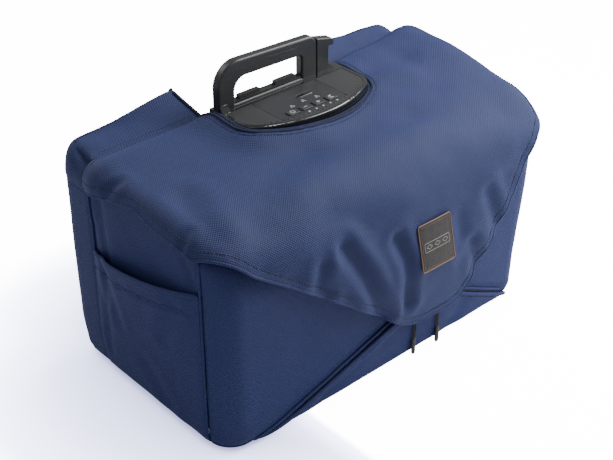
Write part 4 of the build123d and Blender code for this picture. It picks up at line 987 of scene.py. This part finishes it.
# ---------------------------------------------------------------- back strips
NOTCH_X = {"left": (-99.0, -90.0), "right": (103.0, 103.0)}      # at the wall, at the crease


def strip_surface(side):
    """Soft strip behind the crease: u runs along the wall from the side round to the notch, v climbs the wall,
    turns over the ridge and comes down to the crease."""
    sign = -1.0 if side == "left" else 1.0
    end_x, crease_x = NOTCH_X[side]
    plan = filleted([(sign * HALF, CREASE_Y + 0.5), (sign * HALF, BACK), (end_x, BACK)], (0, 20, 0))
    wall = Path(plan, sign)
    corner_share = (BACK - CREASE_Y) / wall.length

    def surface(u, v):
        share = np.clip(u, 0, 1)
        x, y, nx, ny = wall(share * wall.length)
        fuller = back_swell(x, y, 236.0)
        x, y = x + nx * fuller, y + ny * fuller
        far = smooth(corner_share, 1.0, share)
        ridge = 259.0 + 17.0 * smooth(0.0, 0.30, share) + (15.0 if side == "left" else 9.0) * far ** 1.5
        inset = 16.0 - 9.0 * smooth(0.05, 0.5, share)      # how far the ridge is in from the wall
        round_x, round_y = x - nx * inset, y - ny * inset
        inner_x = sign * (236.0 - (236.0 - abs(crease_x)) * smooth(0.0, 1.0, share ** 0.9))
        inner_y, inner_z = CREASE_Y + 0.6, roof_z(CREASE_Y) + 1.4 - 1.2 * (1 - smooth(0, 0.12, share))
        t = np.clip(v, 0, 2)
        up = np.clip(t, 0, 1)
        over = np.clip(t - 1, 0, 1)
        a = up ** 0.9 * np.pi / 2
        wx = x - nx * inset * (1 - np.cos(a)) ** 1.3
        wy = y - ny * inset * (1 - np.cos(a)) ** 1.3
        wz = 236.0 + (ridge - 236.0) * np.sin(a) ** 0.85
        tx = round_x + (inner_x - round_x) * over
        ty = round_y + (inner_y - round_y) * over
        sag = np.sin(np.pi * over)
        tz = ridge + (inner_z - ridge) * (over ** 0.75) + 1.2 * sag
        px_, py_, pz_ = (np.where(t <= 1, a_, b_) for a_, b_ in ((wx, tx), (wy, ty), (wz, tz)))
        spots = np.stack([px_, py_, pz_], 1)
        bump = 1.6 * cloud(spots, 44.0, 21) + 0.5 * cloud(spots, 17.0, 22)
        tilt = np.clip(t, 0, 1.4) / 1.4
        n = np.stack([nx * (1 - tilt), ny * (1 - tilt), 0.15 + tilt], 1)
        n /= np.linalg.norm(n, axis=1)[:, None]
        return spots + n * bump[:, None], n
    return surface, wall.length


for side in ("left", "right"):
    surface, long = strip_surface(side)
    tall = 80.0

    def flat_surface(u, v, surface=surface, long=long, tall=tall):
        return surface(u / long, v / tall * 2)

    outline = rectangle(0, long, 0, tall)
    strip = cloth(f"back_strip_{side}", outline, flat_surface, seam_thick(3.4, 0.3, 5.0), CLOTH, hem=3.0)
    if side == "left":
        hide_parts("back_strips")
    ridge_line = np.stack([np.linspace(0.22, 1.0, 80) * long, np.full(80, tall * 0.52)], 1)
    p, n = on(flat_surface, ridge_line)
    drop_line = np.stack([np.full(40, long - 0.5), np.linspace(tall * 0.52, tall, 40)], 1)
    q, m = on(flat_surface, drop_line)
    back = np.array([0, 2.2, -0.8])
    hem_tape = tube(f"strip_hem_{side}", np.vstack([p + back, q[1:] + np.array([0, 0, 0.3])]), 2.2, TRIM,
                    normals=np.vstack([n, m[1:]]), flat=0.8)
    low = np.stack([np.full(30, long - 0.5), np.linspace(2, tall * 0.5, 30)], 1)
    q, m = on(flat_surface, low)
    tube(f"strip_end_{side}", q, 2.2, DARK_TRIM, normals=m)
    row = np.stack([np.linspace(0.1, 0.98, 80) * long, np.full(80, tall - 6.0)], 1)
    p, n = on(flat_surface, row)
    stitches(f"strip_stitches_{side}", p, n, THREAD)

# ------------------------------------------------------------- zips' pulls
SLIDER_Y, CORD_Y = FRONT - 3.5, FRONT - 6.5
PULL_HANG = 49.0
for side, x in (("left", 30.0), ("right", 70.0)):
    foot = FEET[side]
    slope = (foot[1] - APEX[1]) / (foot[0] - APEX[0])
    z = APEX[1] - 3.5 + slope * (x - APEX[0])
    away = (foot - APEX) / np.linalg.norm(foot - APEX)
    t3, n3 = np.array([away[0], 0, away[1]]), np.array([0, -1.0, 0])
    c3 = np.cross(t3, n3)
    centre = np.array([x, SLIDER_Y, z])
    # heart-shaped body with a flared nose, built as stacked outlines
    outline = filleted([(-6, -2.6), (3.5, -4.4), (6, -4.0), (6, 4.0), (3.5, 4.4), (-6, 2.6)],
                       [1.2, 2.5, 1.2, 1.2, 2.5, 1.2], step=0.6, closed=True)[:-1]
    layers = [(0.82, 0.0), (1.0, 0.35), (1.0, 1.3), (0.9, 1.75), (0.6, 1.95)]
    pts = [centre + t3 * u * grow + c3 * v * grow + n3 * h for grow, h in layers for u, v in outline]
    body = build(f"zip_slider_{side}", pts, stack_faces(len(layers), len(outline)), ZIP_BLACK, body=f"slider_{side}")
    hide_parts(f"slider_{side}")
    a = np.linspace(0, np.pi, 16)
    bridge = centre + np.outer(np.cos(a), t3) * 3.6 + np.outer(np.sin(a) * 2.9 + 1.2, n3)
    tube(f"zip_bridge_{side}", bridge, 0.62, ZIP_BLACK, body=f"slider_{side}", normals=np.tile(c3, (16, 1)))
    # doubled cord looped under the bridge
    loop_bottom = z - PULL_HANG
    sway = 1.0 if side == "left" else -1.3
    depth = np.linspace(0, 1, 26)
    zs = loop_bottom + (z - loop_bottom) * depth
    strand = 1.0 + 0.5 * np.sin(np.pi * depth)
    lean_x = sway * np.sin(np.pi * depth * 1.3)
    up = np.stack([x - strand + lean_x * (1 - depth), np.full(26, CORD_Y), zs], 1)
    down = np.stack([x + strand + lean_x * (1 - depth), np.full(26, CORD_Y), zs], 1)[::-1]
    t = np.linspace(0, np.pi, 10)[1:-1]
    top = np.stack([x - np.cos(t) * 1.0, np.full(8, CORD_Y), z + np.sin(t) * 1.3], 1)
    loop = tube(f"pull_loop_{side}", np.vstack([up, top, down]), 0.88, CORD, body=f"pull_{side}",
                normals=np.tile([0, -1.0, 0], (60, 1)), sides=10)
    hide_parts(f"pull_cord_{side}")
    # moulded end with a waist and a rounded foot
    profile = [(0, 1.2), (0.4, 1.9), (2.0, 2.15), (3.4, 2.7), (4.4, 2.3), (5.2, 2.25), (6.0, 2.75), (12, 2.85),
               (20, 2.8), (22.6, 2.55), (23.7, 1.8), (24.1, 0.9)]
    pts, fcs, sides = [], [], 20
    for drop, r in profile:
        for k in range(sides):
            w = math.tau * k / sides
            pts.append((x + r * math.cos(w), CORD_Y + 0.84 * r * math.sin(w), loop_bottom + 1.2 - drop * 0.97))
    for i in range(len(profile) - 1):
        fcs += [(i * sides + k, (i + 1) * sides + k, (i + 1) * sides + (k + 1) % sides, i * sides + (k + 1) % sides)
                for k in range(sides)]
    fcs += [tuple(range(sides)), tuple((len(profile) - 1) * sides + k for k in range(sides))[::-1]]
    tip = build(f"pull_end_{side}", pts, fcs, PULL, body=f"pull_{side}", angle=70)
    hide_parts(f"pull_tip_{side}")

# -------------------------------------------------------------- device finish
FINISH = {
    "bag_fabric": CLOTH, "trim_fabric": TRIM, "vent_mesh": VENT, "patch_leather": LEATHER, "case_plastic": BLACK,
    "panel_plastic": PANEL, "button_plastic": BUTTON, "lens_plastic": LENS, "pull_plastic": PULL, "pull_cord": CORD,
    "zip_metal": ZIP_BLACK, "rubber": RUBBER, "aluminium": ALLOY, "steel": STEEL, "fan_plastic": FAN, "board": BOARD,
    "filter_foam": FOAM, "port_plastic": PORT, "battery_case": BATTERY,
}
SLOT_OF = {s["node"]: s["material_slot"] for s in frame["record"]["subparts"]}
SPECIAL = {"top_cover": GLOSS, "keypad_overlay": OVERLAY}
for node, obj in NODES.items():
    obj.data.materials.clear()
    obj.data.materials.append(SPECIAL.get(node) or FINISH[SLOT_OF[node]])
    obj.data.shade_smooth()
    obj.data.set_sharp_from_angle(angle=math.radians(35))


def raised(name, ring, z, height, material, body=ROOT, dome=0.0):
    """Low solid over a closed plan outline, with a softened top edge."""
    ring = np.asarray(ring, float)
    centre = ring.mean(axis=0)
    layers = [(1.0, 0.0), (1.0, height * 0.6), (0.96, height * 0.92), (0.86, height), (0.4, height + dome)]
    pts = [(*(centre + (q - centre) * grow), z + h) for grow, h in layers for q in ring]
    return build(name, pts, stack_faces(len(layers), len(ring)), material, body=body)


def mark(name, line, z, radius=0.3, closed=False, body=ROOT, material=PRINT):
    line = spaced(looped(line), 0.5)[:-1] if closed else spaced(line, 0.5)
    pts = np.column_stack([line, np.full(len(line), z)])
    return tube(name, pts, radius, material, body=body, normals=np.tile([0, 0, 1.0], (len(pts), 1)), flat=0.3,
                sides=6, closed=closed)


def circle(x, y, r, start=0.0, end=360.0, steps=28):
    a = np.radians(np.linspace(start, end, steps + 1))
    return np.stack([x + r * np.cos(a), y + r * np.sin(a)], 1)


BUTTON_Y, BUTTON_Z = 15.0, 284.93
BUTTONS = ("power_button", "flow_down_button", "flow_up_button", "mode_button")
centres = {b: (-26.0 + 19.0 * i, BUTTON_Y) for i, b in enumerate(BUTTONS)}
x, y = centres["power_button"]
mark("symbol_power_ring", circle(x, y, 2.7, 120, 420), BUTTON_Z, body="power_button")
mark("symbol_power_bar", [(x, y + 0.6), (x, y + 3.4)], BUTTON_Z, body="power_button")
x, y = centres["flow_down_button"]
mark("symbol_less", [(x - 2.6, y), (x + 2.6, y)], BUTTON_Z, body="flow_down_button", radius=0.36)
x, y = centres["flow_up_button"]
for key, line in (("a", [(x - 2.6, y), (x + 2.6, y)]), ("b", [(x, y - 2.6), (x, y + 2.6)])):
    mark(f"symbol_more_{key}", line, BUTTON_Z, body="flow_up_button", radius=0.36)
x, y = centres["mode_button"]
mark("symbol_moon_a", circle(x, y, 2.9, 50, 310), BUTTON_Z, body="mode_button")
mark("symbol_moon_b", circle(x + 1.6, y, 2.3, 70, 290), BUTTON_Z, body="mode_button")
PANEL_Z = 283.7
for k, (sx, sy) in enumerate(((-16, 27), (2.5, 29), (21, 27))):      # status symbols of three small rings each
    for j in range(3):
        a = math.radians(90 + 120 * j)
        mark(f"symbol_trefoil_{k}_{j}", circle(sx + 1.9 * math.cos(a), sy + 1.9 * math.sin(a), 1.05, steps=14),
             PANEL_Z, radius=0.22)
slot_ring = rectangle(2, 25, 37.6, 43.2, 2.4)
raised("finger_slot", slot_ring, PANEL_Z - 0.2, 0.5, GLOSS)
mark("finger_slot_lip", rectangle(1, 26, 36.6, 44.2, 3.2), PANEL_Z + 0.05, radius=0.5, closed=True, material=OVERLAY)
for k in range(23):       # studs along the bowed front edge of the panel
    a = (k - 11) / 11
    sx = 5.5 + a * 70
    sy = 0.6 + 15.0 * a * a
    raised(f"panel_stud_{k}", circle(sx, sy, 0.75, steps=10)[:-1], 283.6, 0.55, GLOSS, dome=0.1)
for name, line in (("left", [(-46.2, 8), (-46.2, 61)]), ("right", [(49.2, 8), (49.2, 61)])):
    mark(f"panel_groove_{name}", line, PANEL_Z, radius=0.32, material=GLOSS)
# wedge foot in front of the left arm of the handle
wedge = [(-87, 60.5), (-75.5, 60.5), (-75.5, 67.2), (-87, 67.2)]
pts = [(a, b, 283.6) for a, b in wedge] + [(-86.4, 64.2, 288.0), (-76.1, 64.2, 288.0), (-76.1, 67.2, 292.0),
                                             (-86.4, 67.2, 292.0)]
fcs = [(3, 2, 1, 0), (4, 5, 6, 7), (0, 1, 5, 4), (1, 2, 6, 5), (2, 3, 7, 6), (3, 0, 4, 7)]
wedge_foot = build("handle_wedge", pts, fcs, GLOSS, angle=20)
bevel = wedge_foot.modifiers.new("soft", "BEVEL")
bevel.width, bevel.segments = 0.0008, 3
# parting line on the handle
grip_line = filleted([(-80, 317.0), (-62, 328.5), (-20, 329.6), (46, 326.8)], (0, 14, 40, 0))
pts = np.column_stack([grip_line[:, 0], np.full(len(grip_line), 67.7), grip_line[:, 1]])
tube("handle_parting", pts, 0.35, GLOSS, normals=np.tile([0, -1.0, 0], (len(pts), 1)), flat=0.5, sides=6)

# ---------------------------------------------------------------------- stage
floor_mesh = bpy.data.meshes.new("floor")
reach = 6.0
floor_mesh.from_pydata([(-reach, -reach, -0.0006), (reach, -reach, -0.0006), (reach, reach, -0.0006),
                        (-reach, reach, -0.0006)], [], [(0, 1, 2, 3)])
floor = bpy.data.objects.new("floor", floor_mesh)
scene.collection.objects.link(floor)
shader = Shader("studio_sweep")
shader.set(Roughness=0.9)
shader.surface.inputs["Base Color"].default_value = (0.86, 0.87, 0.90, 1)
shader.surface.inputs["Emission Color"].default_value = (1.0, 1.0, 1.0, 1)
seen = shader.node("ShaderNodeLightPath").outputs["Is Camera Ray"]
# painted shadow: ambient occlusion darkens the floor's camera-only glow into a soft bluish painted shadow, kept to the
# bag's left side by a position cutoff
near = shader.node("ShaderNodeAmbientOcclusion", {"Distance": 0.22}, samples=16)
place = shader.node("ShaderNodeSeparateXYZ", {0: shader.node("ShaderNodeTexCoord").outputs["Object"]})
painted_shadow_cutoff = shader.math("MULTIPLY_ADD", place.outputs[0], 9.0)
painted_shadow_cutoff.node.inputs[2].default_value = 2.1
painted_shadow_cutoff.node.use_clamp = True
painted_shadow_mask = shader.math("MAXIMUM", near.outputs["AO"], painted_shadow_cutoff)
# painted shadow colours, from deep bluish shade out to the plain white glow
painted_shadow_glow = shader.ramp(painted_shadow_mask, [(0.3, (0.04, 0.043, 0.075)), (0.75, (0.17, 0.18, 0.28)), (0.93, (0.36, 0.38, 0.53)),
                              (1.0, (1, 1, 1))])
shader.link(painted_shadow_glow, "Emission Color")
shader.link(shader.math("MULTIPLY", seen, 14.0), "Emission Strength")
floor_mesh.materials.append(shader.material)

world = bpy.data.worlds.new("studio")
scene.world = world
world.use_nodes = True
world.node_tree.nodes["Background"].inputs["Color"].default_value = (0.93, 0.95, 1.0, 1)
world.node_tree.nodes["Background"].inputs["Strength"].default_value = 0.42


def area_light(name, place, target, size, power, colour=(1, 1, 1)):
    lamp = bpy.data.lights.new(name, "AREA")
    lamp.shape, lamp.size, lamp.energy, lamp.color = "DISK", size, power, colour
    obj = bpy.data.objects.new(name, lamp)
    obj.location = place
    obj.rotation_euler = (Vector(target) - Vector(place)).to_track_quat("-Z", "Y").to_euler()
    scene.collection.objects.link(obj)
    return obj


area_light("key", (0.90, -0.2, 1.2), (0, 0, 0.2), 0.9, 29)
area_light("side", (0.62, -0.42, 0.42), (0.15, -0.1, 0.15), 0.4, 3.6)
area_light("fill", (-1.5, -0.5, 0.9), (0, 0, 0.12), 1.2, 2.5, (0.94, 0.96, 1.0))
area_light("rim", (-0.3, 1.6, 1.1), (0, 0, 0.2), 0.9, 12)

camera = bpy.data.cameras.new("camera")
camera.lens, camera.sensor_width = 72.76, 36.0
eye = bpy.data.objects.new("camera", camera)
eye.location = (-0.8303, -0.8979, 0.906)
eye.rotation_euler = (math.radians(57.5), 0, math.radians(-42.1))
scene.collection.objects.link(eye)
scene.camera = eye
